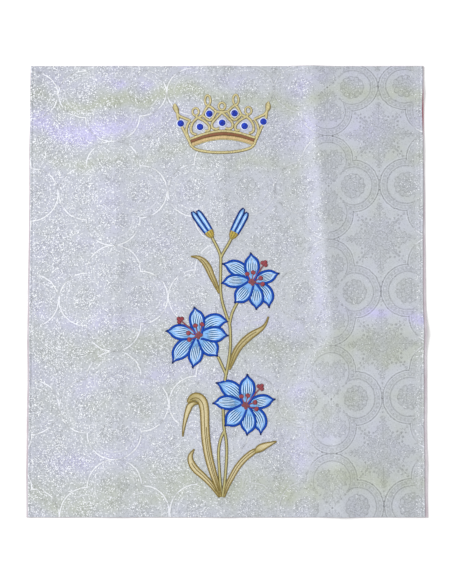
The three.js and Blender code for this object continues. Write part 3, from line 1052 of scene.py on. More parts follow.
@dataclass(frozen=True)
class CutLeaves:
    """The cut leaves in the end lobes and the middle: each one's middle, half sizes and teeth."""

    shapes: tuple[tuple[float, float, float, float, int], ...] = (
        (9.5, 36.0, 10.5, 11.5, 9), (5.0, 15.0, 6.0, 9.5, 7))
    tooth: float = 0.12
    fine_tooth: float = 0.05
    full: float = 0.96
    body: Step = Step(0.03, -0.03)
    outline: Line = Line(0, 0.03, 0.06)
    spine: Line = Line(1.6, 0.25, 0.4)
    spine_middle: float = 33
    spine_slope: tuple[float, float] = (0.55, 0.35)
    rib_slope: float = 0.8
    rib_close: float = 1.25
    rib_size: Step = Step(0.3, 0.9)
    veins_within: Step = Step(0, -0.25)
    faint: float = 0.7
    stalk: Line = Line(0, 0.5, 0.5)
    stalk_to: Step = Step(46, 42)
    stalk_share: float = 0.6

    def draw(self, board: Board, ax: Value, ay: Value) -> tuple[Value, Value]:
        """The leaves' body and their lines.

        Args:
            board: The material's nodes.
            ax: Across from the quatrefoil's middle, without its sign.
            ay: Up from the quatrefoil's middle, without its sign.

        Returns:
            The body and the lines.
        """
        edges = []
        for at_x, at_y, wide, tall, teeth in self.shapes:
            u = (ax - at_x) / wide
            v = (ay - at_y) / tall
            angle = board.maths("ARCTAN2", v, u)
            cut = (angle * teeth).cosine() * self.tooth
            cut = cut + (angle * (2 * teeth + 1)).cosine() * self.fine_tooth
            edges.append(board.far(u, v) - cut - self.full)
        leaf = edges[0].least(edges[1])
        lean, drop = self.spine_slope
        spine = self.spine.of(ax * lean - abs(ay - self.spine_middle) * drop)
        ribs = self.rib_size.of(((ax + ay * self.rib_slope) * self.rib_close).sine())
        veins = spine.most(ribs * self.faint) * self.veins_within.of(leaf)
        stalk = self.stalk.of(ax) * self.stalk_to.of(ay)
        lines = (self.outline.of(leaf), veins * self.faint, stalk * self.stalk_share)
        return self.body.of(leaf), most_of(lines)


@dataclass(frozen=True)
class StarArm:
    """A cut leaf that grows out from the star's middle: how far it goes and its greatest half width."""

    reach: float
    half: float
    fullness: float = 0.8
    cuts: tuple[float, float] = (1.05, 0.17)
    waves: tuple[float, float] = (0.45, 0.12)
    grows: Step = Step(8, 13)
    body: Step = Step(0.4, -0.4)
    outline: Line = Line(0, 0.3)
    outline_from: Step = Step(9, 11)
    vein: Line = Line(0, 0.25, 0.5)
    vein_from: Step = Step(13, 15)
    vein_short: float = 3
    rib_slope: float = 0.9
    rib_close: float = 1.6
    rib_size: Step = Step(0.35, 0.9)
    ribs_within: Step = Step(-0.4, -1.2)
    rib_share: float = 0.55

    def draw(self, along: Value, aside: Value) -> tuple[Value, Value]:
        """Draw the arm.

        Args:
            along: Distance out from the star's middle along the arm.
            aside: Distance from the arm's axis.

        Returns:
            The arm's body, and its outline with the mid vein and the ribs.
        """
        share = (along / self.reach).most(0).least(1)
        swell = (share**self.fullness * math.pi).sine() * self.half
        cut = (along * self.cuts[0]).sine() * self.cuts[1] * self.half
        cut = cut + (along * self.waves[0]).cosine() * self.waves[1] * self.half
        edge = aside - (swell + cut) * self.grows.of(along)
        vein = self.vein.of(aside) * self.vein_from.of(along) * along.rises(
            self.reach, self.reach - self.vein_short)
        ribs = self.rib_size.of(((along - aside * self.rib_slope) * self.rib_close).sine())
        ribs = ribs * self.ribs_within.of(edge)
        outline = self.outline.of(edge) * self.outline_from.of(along)
        return self.body.of(edge), most_of((outline, vein, ribs * self.rib_share))


@dataclass(frozen=True)
class Star:
    """The eight-armed star in the gap between four quatrefoils, with round tips on its short arms."""

    long_arm: StarArm = StarArm(45.0, 8.4)
    short_arm: StarArm = StarArm(31.0, 5.2)
    tips: tuple[Row, ...] = ((33, 0, 1.7), (30, 4.6, 1.6), (25.5, 8.2, 1.5), (36.5, 3.6, 1.2), (21, 6.6, 1.3))
    tip_soft: float = 0.4
    dots_close: float = 1.5
    dot_size: Step = Step(-0.1, 0.35)
    dots_within: Step = Step(9.5, 8.5)
    dot_share: float = 0.7
    ring: Line = Line(9.4, 0.35)
    middle: Step = Step(10, 9)
    arms_from: Step = Step(9, 10.5)

    def draw(self, board: Board, bx: Value, by: Value) -> tuple[Value, Value]:
        """The star's body and its lines.

        Args:
            board: The material's nodes.
            bx: Across from the star's middle.
            by: Up from the star's middle.

        Returns:
            The body and the lines.
        """
        bx, by = abs(bx), abs(by)
        diagonal = (bx + by) * math.sqrt(0.5)
        aside = abs(bx - by) * math.sqrt(0.5)
        long_body, long_line = self.long_arm.draw(bx.most(by), bx.least(by))
        short_body, short_line = self.short_arm.draw(diagonal, aside)
        tips = most_of([
            board.far(diagonal - far, aside - off).rises(size + self.tip_soft, size - self.tip_soft)
            for far, off, size in self.tips
        ])
        out = board.far(bx, by)
        dots = (bx * self.dots_close).sine() * (by * self.dots_close).sine()
        dots = self.dot_size.of(dots) * self.dots_within.of(out) * self.dot_share
        outside = self.arms_from.of(out)
        body = most_of((long_body, short_body, tips, self.middle.of(out)))
        return body, most_of((long_line * outside, short_line * outside, tips, dots, self.ring.of(out)))


@dataclass(frozen=True)
class Quatrefoil:
    """The brocade's repeat: a framed quatrefoil with rosettes and leaves, and a star in each gap."""

    pitch_x: float = 136.0
    pitch_y: float = 135.0
    centre_x: float = -8.0
    centre_y: float = -5.0
    band: FrameBand = FrameBand(lobe=34.0)
    rosette: Rosette = Rosette()
    leaves: CutLeaves = CutLeaves()
    star: Star = Star()
    tilt: float = -0.028
    rise: float = 2.7
    shear: float = 0.009
    shift: float = 1.9
    top_from: float = 110.0
    top_drift: float = 0.00045
    low_down: Step = Step(40, -100)
    low_drop: float = 1.8
    far_right: Step = Step(105, 195)
    right_shift: float = 4.1
    far_left: Step = Step(-130, -200)
    left_shift: float = 1.5

    def drift(self, x: Value, y: Value) -> tuple[Value, Value]:
        """Where a place on the cloth lies in the even repeat: the cloth was cut a little off the thread.

        Args:
            x: Across the cloth.
            y: Up the cloth.

        Returns:
            X and Y in the even repeat.
        """
        over = (y - self.top_from).most(0)
        even_y = y + x * self.tilt + over * over * self.top_drift + self.rise
        even_y = even_y - self.low_down.of(y) * self.low_drop
        even_x = x + y * self.shear - self.shift
        even_x = even_x + self.far_right.of(x) * self.right_shift + self.far_left.of(x) * self.left_shift
        return even_x, even_y

    def masks(self, board: Board, x: Value, y: Value) -> tuple[Value, Value, Value, Value]:
        """Draw the repeat.

        Args:
            board: The material's nodes.
            x: Across the cloth, in millimetres.
            y: Up the cloth, in millimetres.

        Returns:
            The share of figure, of fine line, of the frame's strong line and of the painted light and shade
            beside that.
        """
        half_x, half_y = self.pitch_x / 2, self.pitch_y / 2
        x, y = self.drift(x, y)
        ax = abs((x - self.centre_x).maths("WRAP", half_x, -half_x))
        ay = abs((y - self.centre_y).maths("WRAP", half_y, -half_y))
        band, fine, strong, beside = self.band.draw(board, ax, ay)
        figures, lines = zip(
            (band, fine),
            self.rosette.draw(board, ax, ay),
            self.leaves.draw(board, ax, ay),
            self.star.draw(board, half_x - ax, half_y - ay),
        )
        return most_of(figures), most_of(lines), strong, beside


@dataclass(frozen=True)
class BrocadeFinish:
    """Silver brocade: a matt satin ground and figures with metal weft, with painted lilac and greenish
    reflections, painted glints and painted light and shade.
    """

    ground: Colour = tone(183, 187, 195)
    # The colours of the painted lilac and greenish reflections.
    lilac: Colour = tone(188, 186, 221)
    green: Colour = tone(176, 182, 168)
    # Painted glints: the colours of the sparkle painted on the metal weft.
    cool_spark: Colour = tone(240, 242, 255)
    warm_spark: Colour = tone(242, 245, 243)
    repeat: Quatrefoil = Quatrefoil()
    sway: float = 1.6
    sway_grain: float = 6.0
    cloud_grain: float = 34.0
    cloud_pull: float = 1.3
    lilac_reflection_share: Step = Step(-0.1, 1.1)
    green_reflection_share: Step = Step(0.1, -1.0)
    float_long: float = 1.15
    float_high: float = 0.95
    row_shift: float = 3.0
    other_seed: float = 17.3
    patch_grain: float = 7.0
    patchy: Span = Span(0.5, 0.9)
    metal: Span = Span(0.40, 0.44)
    line_metal: float = 0.15
    spark_pull: float = 0.36
    spark_edge: Step = Step(0.985, 1.06)
    spark_light: Span = Span(0.45, 0.65)
    dark_pull: Span = Span(0.1, 0.24)
    dark_edge: Step = Step(0.90, 1.02)
    # Painted light and shade: lit is where painted light falls; there the lines are painted lighter and
    # beside the strong line darker, elsewhere the other way round.
    lit: Step = Step(0.15, 0.34)
    figure_shade: Span = Span(0.04, 0.015)
    dark_shade: Span = Span(0.16, 0.09)
    line_shade: Span = Span(-0.23, 0.28)
    line_uneven: Span = Span(0.4, 0.9)
    strong_shade: float = 0.34
    strong_uneven: Span = Span(0.7, 0.4)
    beside_painted_light: Span = Span(0.09, -0.15)
    break_grain: float = 15.0
    # How the painted highlights on the lines break up and how bright they are painted.
    breaks: Step = Step(0.36, 0.52)
    break_light: Span = Span(0.2, 0.8)
    highlight_fine: float = 0.3
    highlight_lit: Step = Step(0.1, 0.6)
    highlight_light: Span = Span(0.6, 0.3)
    weave: float = 0.55
    warp_wider: float = 1.3
    weft_under: float = 0.6
    rough: float = 0.58
    spark_gloss: float = 0.2
    strong_gloss: float = 0.06
    relief: float = 0.00026
    relief_strength: float = 0.8

    def fleck(self, board: Board, x: Value, y: Value, seed: float) -> Value:
        """White noise that is even within each short float of the weft.

        Args:
            board: The material's nodes.
            x: Across the cloth.
            y: Up the cloth.
            seed: Which noise it is.

        Returns:
            The noise, from 0 to 1.
        """
        row = (y / self.float_high + seed).maths("FLOOR")
        shift = board.value("ShaderNodeTexWhiteNoise", {"noise_dimensions": "1D"}, {"W": row}, "Value")
        column = (x / self.float_long + shift * self.row_shift + seed).maths("FLOOR")
        return board.value("ShaderNodeTexWhiteNoise", {"noise_dimensions": "2D"},
                           {"Vector": board.vector(column, row)}, "Value")

    def with_painted_reflections(self, board: Board, place: object) -> object:
        """The satin's colour with its painted lilac and greenish reflections, without its shade.

        Args:
            board: The material's nodes.
            place: The vector of X, Y and Z.

        Returns:
            The colour.
        """
        # Painted reflections: the cloth is painted lilac or greenish by the mesh's tint and a cloudy noise.
        cloud = board.noise(place, self.cloud_grain, 4, 0.6)
        tint = board.attribute("tint") + (cloud - 0.5) * self.cloud_pull
        colour = board.mix(self.lilac_reflection_share.of(tint), self.ground, self.lilac)
        return board.mix(self.green_reflection_share.of(tint), colour, self.green)

    def wave(self, along: Value, length: float) -> Value:
        """The rise and fall of threads along a direction, from 0 to 1."""
        return (along * (2 * math.pi / length)).sine() * 0.5 + 0.5

    def make(self) -> Material:
        """Make the material.

        Returns:
            The material.
        """
        board = Board("silver_brocade")
        x, y, place = board.place()
        sway = (board.noise(place, self.sway_grain, 1, 0.5) - 0.5) * self.sway
        figure, line, strong, beside = self.repeat.masks(board, x + sway, y + sway)
        glint = board.attribute("glint")
        first = self.fleck(board, x, y, 0.0)
        second = self.fleck(board, x, y, self.other_seed)
        patchy = self.patchy.of(board.noise(place, self.patch_grain, 2, 0.6))

        # Painted glints: specks of sparkle painted where the glint share and the metal are high.
        share = glint * (self.metal.of(figure) + line * self.line_metal) * patchy
        spark = self.spark_edge.of(first + share * self.spark_pull) * self.spark_light.of(second)
        dark = self.dark_edge.of(second + self.dark_pull.of(figure) * patchy)
        # Painted highlights: the strong line and the fine lines painted white where the glint share is high,
        # in broken stretches.
        broken = self.break_light.of(self.breaks.of(board.noise(place, self.break_grain, 1, 0.5)))
        painted_line_highlight = strong.most(line * self.highlight_fine * first) * self.highlight_lit.of(glint)
        painted_line_highlight = painted_line_highlight * broken * self.highlight_light.of(first)

        # Painted light and shade on the pattern: lines lighter where lit and darker elsewhere, and the
        # painted light beside the strong line.
        lit = self.lit.of(glint)
        # The painted light and shade of the fold panels, from the mesh, brightens or darkens the colour.
        shade = 1 + board.attribute("sheen") - figure * self.figure_shade.of(lit)
        shade = shade - dark * self.dark_shade.of(lit)
        shade = shade + line * self.line_shade.of(lit) * self.line_uneven.of(first)
        shade = shade - strong * self.strong_shade * self.strong_uneven.of(second)
        shade = shade + beside * self.beside_painted_light.of(lit)
        colour = board.scaled(self.with_painted_reflections(board, place), shade)
        # The painted glints and the painted highlights on the lines take the sparkle colours.
        glow = board.mix(second, self.cool_spark, self.warm_spark)
        colour = board.mix(spark.most(painted_line_highlight), colour, glow)

        weft = self.wave(y, self.weave) * (1 - figure * self.weft_under)
        warp = self.wave(x, self.weave * self.warp_wider)
        height = figure * 0.5 + line * 0.4 + strong * 0.5 + weft * 0.16 + warp * 0.08 + first * figure * 0.4
        rough = self.rough - spark * self.spark_gloss - strong * self.strong_gloss
        return board.finish(colour, rough, board.bump(height, self.relief, self.relief_strength),
                            Specular_IOR_Level=0.4, Sheen_Weight=0.05)


@dataclass(frozen=True)
class LiningFinish:
    """Plain matt lining cloth."""

    light: Colour = tone(212, 207, 213)
    dark: Colour = tone(196, 184, 192)
    red: Colour = tone(174, 116, 124)
    red_up: Line = Line(226.0, 0, 40.0)
    red_out: Step = Step(236, 244)
    patch_grain: float = 30.0
    patches: Step = Step(0.3, 0.7)
    weave: float = 0.6
    thread_light: Span = Span(0.98, 0.05)
    rough: float = 0.8

    def make(self) -> Material:
        """Make the material.

        Returns:
            The material.
        """
        board = Board("rose_lining")
        x, y, place = board.place()
        cloud = board.noise(place, self.patch_grain, 3, 0.6)
        threads = (x * (2 * math.pi / self.weave)).sine() * (y * (2 * math.pi / self.weave)).sine()
        colour = board.mix(self.patches.of(cloud), self.light, self.dark)
        colour = board.mix(self.red_up.of(y) * self.red_out.of(x), colour, self.red)
        colour = board.scaled(colour, self.thread_light.of(threads))
        return board.finish(colour, self.rough, board.bump(threads, 0.0001, 0.6), Specular_IOR_Level=0.3)


# Finishes of the thread and the stones


@dataclass(frozen=True)
class ThreadFinish:
    """Shiny embroidery thread, with one colour along its middle, one at its edges and a deep one."""

    name: str
    core: Colour
    edge: Colour
    deep: Colour
    edge_from: float = 0.45
    edge_full: float = 0.95
    hair_grain: float = 0.22
    gloss: float = 0.5
    uneven: float = 0.10
    grain: float = 1.6
    roughness: float = 0.42

    def make(self) -> Material:
        """Make the material.

        Returns:
            The material.
        """
        board = Board(self.name)
        _, _, place = board.place()
        across = abs(board.attribute("across"))
        stitch = board.attribute("stitch")
        deep = board.attribute("deep")
        mottle = board.noise(place, self.grain, 2, 0.6)
        colour = board.mix(across.rises(self.edge_from, self.edge_full), self.core, self.edge)
        colour = board.mix(deep, colour, self.deep)
        colour = board.scaled(colour, stitch * self.uneven + (mottle - 0.5) * 2 * self.uneven + 1)
        hair = board.noise(place, self.hair_grain, 2, 0.6)
        return board.finish(colour, self.roughness, board.bump(hair, 0.00005, 0.7),
                            Specular_IOR_Level=self.gloss)


@dataclass(frozen=True)
class StoneFinish:
    """Cobalt glass with a foiled back, with painted sparkle: patches of the glass painted brighter blue."""

    painted_sparkle_blue: Colour = tone(18, 62, 196)
    deep: Colour = tone(4, 26, 128)

    def make(self) -> Material:
        """Make the material.

        Returns:
            The material.
        """
        board = Board("blue_stone")
        _, _, place = board.place()
        # Painted sparkle: random patches of the deep blue glass painted brighter blue.
        spark = board.noise(place, 2.4, 2, 0.7)
        colour = board.mix(spark.rises(0.35, 0.65), self.deep, self.painted_sparkle_blue)
        return board.finish(colour, 0.2, None, Specular_IOR_Level=0.3, Coat_Weight=0.15, Coat_Roughness=0.08)


@dataclass(frozen=True)
class CupFinish:
    """The pale metal cup under a stone."""

    silver: Colour = tone(214, 222, 244)

    def make(self) -> Material:
        """Make the material.

        Returns:
            The material.
        """
        board = Board("stone_cup")
        _, _, place = board.place()
        wear = board.noise(place, 1.2, 3, 0.6)
        return board.finish(self.silver, wear * 0.2 + 0.25, board.bump(wear, 0.00005, 0.5))


# Thread laid along routes


def smooth_route(points: Sequence[Row], step: float) -> Array:
    """Sample a centripetal Catmull-Rom line through rows of numbers.

    Args:
        points: The rows, of which the first two numbers are X and Y.
        step: The distance between samples.

    Returns:
        The samples, evenly spaced in X and Y.
    """
    rows = np.array(points, float)
    rows = np.vstack([2 * rows[0] - rows[1], rows, 2 * rows[-1] - rows[-2]])
    dense = []
    for p0, p1, p2, p3 in zip(rows, rows[1:], rows[2:], rows[3:]):
        d0, d1, d2 = (max(np.linalg.norm(b - a), 1e-6) ** 0.5 for a, b in ((p0, p1), (p1, p2), (p2, p3)))
        m1 = ((p1 - p0) / d0 - (p2 - p0) / (d0 + d1) + (p2 - p1) / d1) * d1
        m2 = ((p2 - p1) / d1 - (p3 - p1) / (d1 + d2) + (p3 - p2) / d2) * d1
        t = np.linspace(0, 1, 20, endpoint=False)[:, None]
        dense.append(p1 + m1 * t + (3 * (p2 - p1) - 2 * m1 - m2) * t**2 + (2 * (p1 - p2) + m1 + m2) * t**3)
    dense.append(rows[-2][None])
    return resample(np.vstack(dense), step)


def resample(rows: Array, step: float) -> Array:
    """Space rows evenly along their X and Y.

    Args:
        rows: Rows whose first two numbers are X and Y.
        step: The distance between rows, roughly.

    Returns:
        The rows, at least three of them.
    """
    gaps = np.linalg.norm(np.diff(rows[:, :2], axis=0), axis=1)
    along = np.concatenate([[0], np.cumsum(gaps)])
    count = max(3, round(along[-1] / step) + 1)
    at = np.linspace(0, along[-1], count)
    return np.stack([np.interp(at, along, column) for column in rows.T], axis=1)


def lefts(rows: Array) -> Array:
    """The unit vectors that point to the left of a line of rows.

    Args:
        rows: Rows whose first two numbers are X and Y.

    Returns:
        One vector for each row.
    """
    ahead = np.gradient(rows[:, :2], axis=0)
    ahead /= np.maximum(np.linalg.norm(ahead, axis=1), 1e-9)[:, None]
    return np.stack([-ahead[:, 1], ahead[:, 0]], axis=1)


def beside(rows: Array, out: Array, half: Array | float) -> Array:
    """Give the rows of a line that runs beside another.

    Args:
        rows: The other line's rows.
        out: How far to its left each row lies.
        half: The line's own half width.

    Returns:
        Rows of X, Y and half width.
    """
    points = rows[:, :2] + lefts(rows) * out[:, None]
    return np.column_stack([points, np.broadcast_to(half, len(points))])


THREAD_LAYERS = ("across", "stitch", "deep")


class Work(Enum):
    """How thread is laid: across the line, along it, or as one thin cord."""

    SATIN = "satin"
    LAID = "laid"
    CORD = "cord"


@dataclass
class Run:
    """Thread laid along a line: rows of X, Y and half width, with its height and where it starts."""

    rows: Array
    height: float
    base: float = 0.0
    work: Work = Work.SATIN
    deep: Array | float = 0.0
    slant: float = 0.35


@dataclass(frozen=True)
class Needle:
    """Lays runs of thread on the cloth and makes a piece of them."""

    pitch: float = 0.5
    sunk: float = 0.18
    groove: float = 0.24
    ragged: float = 0.07
    uneven_width: float = 0.05
    uneven_height: float = 0.06
    least_half: float = 0.12
    slim_height: float = 0.35
    full_half: float = 0.9
    end_height: float = 0.45
    laid_ridge: float = 0.75
    laid_valley: float = 0.72
    laid_round: float = 2.2
    laid_edge: float = 0.12
    cord_top: tuple[Point, ...] = ((-1, 0), (-0.72, 0.75), (0, 1), (0.72, 0.75), (1, 0))
    satin_top: tuple[Point, ...] = (
        (-1, 0), (-0.9, 0.5), (-0.5, 0.88), (0, 1), (0.5, 0.88), (0.9, 0.5), (1, 0))
    seed: int = 7

    def section(self, run: Run) -> Array:
        """A run's cross-section as rows of place across and lift, round to the underside.

        Args:
            run: The run.

        Returns:
            The rows.
        """
        if run.work is Work.LAID:
            widest = float(run.rows[:, 2].max())
            ridges = max(4, round(2 * widest / self.laid_ridge))
            across = np.linspace(-1, 1, 2 * ridges + 1)
            lift = np.where(np.arange(len(across)) % 2 == 1, 1.0, self.laid_valley)
            lift *= np.minimum(1, self.laid_round * (1 - np.abs(across)) + self.laid_edge)
            top = np.stack([across, lift], axis=1)
        else:
            top = np.array(self.cord_top if run.work is Work.CORD else self.satin_top, float)
        return np.vstack([top, [(0, -1)]])

    def lay(self, run: Run, chance: np.random.Generator) -> bpy.types.Mesh:
        """Shape one run.

        Args:
            run: The run.
            chance: Where the small unevenness of the stitches comes from.

        Returns:
            A closed mesh in millimetres, with no cloth under it yet.
        """
        rows, section = run.rows, self.section(run)
        rings, around = len(rows), len(section)
        bm = bmesh.new()
        bmesh.ops.create_cone(bm, cap_ends=True, segments=around, radius1=1, radius2=1, depth=2)
        upright = [e for e in bm.edges if abs(e.verts[0].co.z - e.verts[1].co.z) > 1]
        bmesh.ops.subdivide_edges(bm, edges=upright, cuts=rings - 2, use_grid_fill=True)
        left = lefts(rows)
        ahead = np.stack([left[:, 1], -left[:, 0]], axis=1)
        stitch = np.repeat(chance.uniform(-1, 1, rings // 2 + 1), 2)[:rings]
        ridge = np.where(np.arange(rings) % 2 == 1, 1.0, 1 - self.groove)
        if run.work is not Work.SATIN:
            ridge = np.ones(rings)
        half = rows[:, 2] * (1 + self.uneven_width * stitch) - (1 - ridge) / self.groove * self.ragged
        half = np.maximum(half, self.least_half)
        slim = self.slim_height + (1 - self.slim_height) * half / self.full_half
        tall = run.height * ridge * (1 + self.uneven_height * stitch) * np.minimum(1, slim)
        tall[[0, -1]] *= self.end_height
        deep = np.broadcast_to(np.asarray(run.deep, float), (rings,))
        layers = [bm.verts.layers.float.new(name) for name in THREAD_LAYERS]
        turn = 2 * math.pi / around
        lean = run.slant if run.work is Work.SATIN else 0.0
        for v in bm.verts:
            ring = round((v.co.z + 1) / 2 * (rings - 1))
            across, lift = section[round(math.atan2(v.co.x, v.co.y) / turn) % around]
            offset = across * half[ring]
            x, y = rows[ring, :2] + left[ring] * offset + ahead[ring] * lean * offset
            v.co = (x, y, run.base + (tall[ring] * lift if lift >= 0 else -self.sunk))
            for layer, value in zip(layers, (across, stitch[ring], deep[ring])):
                v[layer] = value
        mesh = bpy.data.meshes.new("run")
        bm.to_mesh(mesh)
        bm.free()
        return mesh

    def sew(self, name: str, runs: Iterable[Run], finish: Material) -> Piece:
        """Make one piece of several runs.

        Args:
            name: The piece's name.
            runs: The runs.
            finish: The thread's finish.

        Returns:
            The piece.
        """
        chance = np.random.default_rng(self.seed + sum(map(ord, name)))
        bm = bmesh.new()
        for layer in THREAD_LAYERS:
            bm.verts.layers.float.new(layer)
        for run in runs:
            mesh = self.lay(run, chance)
            bm.from_mesh(mesh)
            bpy.data.meshes.remove(mesh)
        points = np.array([v.co for v in bm.verts])
        rise = LAY.height(points[:, 0], points[:, 1]) + PANEL_TOP
        for v, up in zip(bm.verts, rise):
            v.co.z += up
        return to_object(name, bm, finish)


NEEDLE = Needle()


def cover_up(rows: Array, hidden: Callable[[Array], Array]) -> list[Array]:
    """Split rows into the stretches that nothing covers.

    Args:
        rows: Evenly spaced rows of X, Y and half width.
        hidden: Tells of points whether they are covered.

    Returns:
        The stretches that show, of at least four rows.
    """
    shown = ~hidden(rows[:, :2])
    parts, start = [], None
    for n, seen in enumerate([*shown, False]):
        if seen and start is None:
            start = n
        elif not seen and start is not None:
            if n - start >= 4:
                parts.append(rows[start:n])
            start = None
    return parts


# The lilies


@dataclass(frozen=True)
class Petal:
    """One petal: its bearing in degrees, reach from the heart, full width and how far it bows left."""

    toward: float
    reach: float
    breadth: float
    bend: float


@dataclass(frozen=True)
class Strokes:
    """Long single stitches: where each lies across a petal, starts and ends, with half width and height."""

    marks: tuple[Row, ...]
    half: float
    height: float
    sway: float = 0.06
    jitter: float = 0.05
    tapered: float = 0.15
    lift: float = 0.3


@dataclass(frozen=True)
class Bloom:
    """A lily seen face on. Its petals are listed from the uppermost down.

    The rows of the red heart, the stamens and the stigma start with a bearing from the pistil and a reach.
    """

    name: str
    x: float
    y: float
    size: float
    turn: float
    petals: tuple[Petal, ...]
    pistil: float
    root: float = 1.0
    waist: float = 0.15
    tip: float = 0.5
    sharpness: float = 0.88
    shoulder: float = 1.4
    pinch: Hump = Hump(0.91, 0.09, 0.36)
    fuller: float = 1.11
    layer: float = 0.1
    step: float = 0.25
    fill_inset: float = 0.9
    fill_height: float = 0.34
    fill_lift: float = 0.05
    line: float = 3.12
    outside: float = 0.45
    line_height: float = 0.78
    line_tip: float = 0.6
    line_widens: float = 2.4
    line_least: float = 0.62
    line_hidden: float = 1.1
    deep_from: float = 0.9
    deep_over: float = 0.08
    deep: float = 0.8
    knot_at: tuple[float, ...] = (0.945, 0.985, 1.012)
    knot_half: tuple[float, ...] = (0.7, 1.35, 0.7)
    knot_hidden: float = 0.5
    heart: tuple[Row, ...] = (
        (0, 0.6, 3.2), (120, 2.4, 2.2), (-120, 2.6, 2.4), (60, 3.0, 2.0), (-50, 3.2, 2.2))
    anthers: tuple[Point, ...] = ((-66, 14.6), (-31, 13.2), (25, 13.2), (62, 12.6))
    anther_turn: float = 70
    pistil_reach: float = 29
    stigma: tuple[Row, ...] = ((5.4, 29.6, 2.6), (-5.4, 29.6, 2.6), (0.0, 32.4, 2.7), (0.0, 30.4, 2.4))
    red_lift: float = 0.85
    red_layer: float = 0.05

    def spine(self, petal: Petal, share: Array) -> tuple[Array, Array]:
        """A petal's middle line and half widths.

        Args:
            petal: The petal.
            share: Places from 0 at the heart to 1 at the tip.

        Returns:
            The points and the half widths.
        """
        bearing = math.radians(petal.toward + self.turn)
        ahead = np.array([math.cos(bearing), math.sin(bearing)])
        left = np.array([-ahead[1], ahead[0]])
        heart = np.array([self.x, self.y])
        reach = petal.reach * self.size
        start = heart + ahead * self.root
        bow = heart + ahead * 0.5 * reach + left * 2 * petal.bend * self.size
        end = heart + ahead * reach
        s = share[:, None]
        points = start * (1 - s) ** 2 + bow * 2 * s * (1 - s) + end * s**2
        turn = np.minimum(1, self.waist + (1 - self.waist) * share**self.shoulder)
        pinched = 1 - self.pinch.share(share)
        swell = np.maximum(np.sin(math.pi * turn), 0) ** self.sharpness
        half = 0.5 * self.fuller * petal.breadth * self.size * swell * pinched
        return points, np.maximum(half, self.tip)

    def inside(self, petal: Petal, points: Array, margin: float) -> Array:
        """Whether points lie inside a petal by more than a margin.

        Args:
            petal: The petal.
            points: The points.
            margin: How far inside they have to be.

        Returns:
            An array of bools.
        """
        spine, half = self.spine(petal, np.linspace(0, 1, 60))
        apart = np.linalg.norm(points[:, None, :] - spine[None], axis=2)
        nearest = apart.argmin(axis=1)
        beyond = nearest == len(spine) - 1
        return (apart.min(axis=1) < half[nearest] - margin) & ~beyond

    def covered(self, margin: float, upto: int | None = None) -> Callable[[Array], Array]:
        """A test for points that the first petals hide.

        Args:
            margin: How far inside a petal a point has to be.
            upto: How many petals hide points; all of them if not given.

        Returns:
            The test, which takes points and gives an array of bools.
        """
        petals = self.petals[:upto]

        return lambda points: np.any(
            [np.zeros(len(points), bool), *(self.inside(petal, points, margin) for petal in petals)], axis=0)

    def base(self, n: int) -> float:
        """How high petal n lies over the cloth."""
        return self.layer * (len(self.petals) - 1 - n)

    def fills(self) -> list[Run]:
        """The light thread laid along each petal.

        Returns:
            The runs.
        """
        runs = []
        for n, petal in enumerate(self.petals):
            points, half = self.spine(petal, np.linspace(0, 1, 26))
            rows = np.column_stack([points, np.maximum(half - self.fill_inset, 0.3)])
            runs.append(Run(rows[:-1], self.fill_height, self.base(n) + self.fill_lift, Work.LAID))
        return runs

    def outlines(self) -> list[Run]:
        """The satin line down both sides of each petal.

        Returns:
            The runs.
        """
        runs = []
        share = np.linspace(0.02, 1, 90)
        widens = np.clip(self.line_tip + self.line_widens * (1 - share), self.line_least, 1)
        width = 0.5 * self.line * widens
        deep = np.clip((share - self.deep_from) / self.deep_over, 0, 1)
        for n, petal in enumerate(self.petals):
            points, half = self.spine(petal, share)
            out = lefts(points) * np.maximum(half + self.outside - 0.5 * self.line, 0)[:, None]
            for side in (-1, 1):
                rows = resample(np.column_stack([points + side * out, width, deep]), self.step)
                for part in cover_up(rows, self.covered(self.line_hidden, n)):
                    depth = part[:, 3] * self.deep
                    runs.append(Run(part[:, :3], self.line_height, self.base(n), Work.SATIN, depth))
            tip, _ = self.spine(petal, np.array(self.knot_at))
            knot = resample(np.column_stack([tip, self.knot_half]), self.step)
            if not self.covered(self.knot_hidden, n)(tip).any():
                runs.append(Run(knot, 1.0, self.base(n), Work.SATIN, 1.0))
        return runs

    def strokes(self, strokes: Strokes) -> list[Run]:
        """Long single stitches on the petals.

        Args:
            strokes: Where the stitches lie and how thick they are.

        Returns:
            The runs.
        """
        runs = []
        ends = np.linspace(strokes.tapered, math.pi - strokes.tapered, 24)
        taper = strokes.half * np.sin(ends) ** 0.5
        for n, petal in enumerate(self.petals):
            sway = strokes.sway * math.sin(2.3 * n + self.x)
            for m, (across, start, end) in enumerate(strokes.marks):
                jitter = strokes.jitter * math.sin(5.1 * n + 3.7 * m)
                share = np.linspace(start + jitter, end + jitter + sway, len(taper))
                points, wide = self.spine(petal, share)
                rows = beside(points, across * np.maximum(wide - self.line, 0.2), taper)
                for part in cover_up(rows, self.covered(-0.2, n)):
                    runs.append(Run(part, strokes.height, self.base(n) + strokes.lift, Work.CORD))
        return runs

    def at(self, bearing: float, reach: float) -> Array:
        """A point at a bearing and distance from the heart."""
        angle = math.radians(bearing)
        return np.array([self.x, self.y]) + reach * self.size * np.array([math.cos(angle), math.sin(angle)])

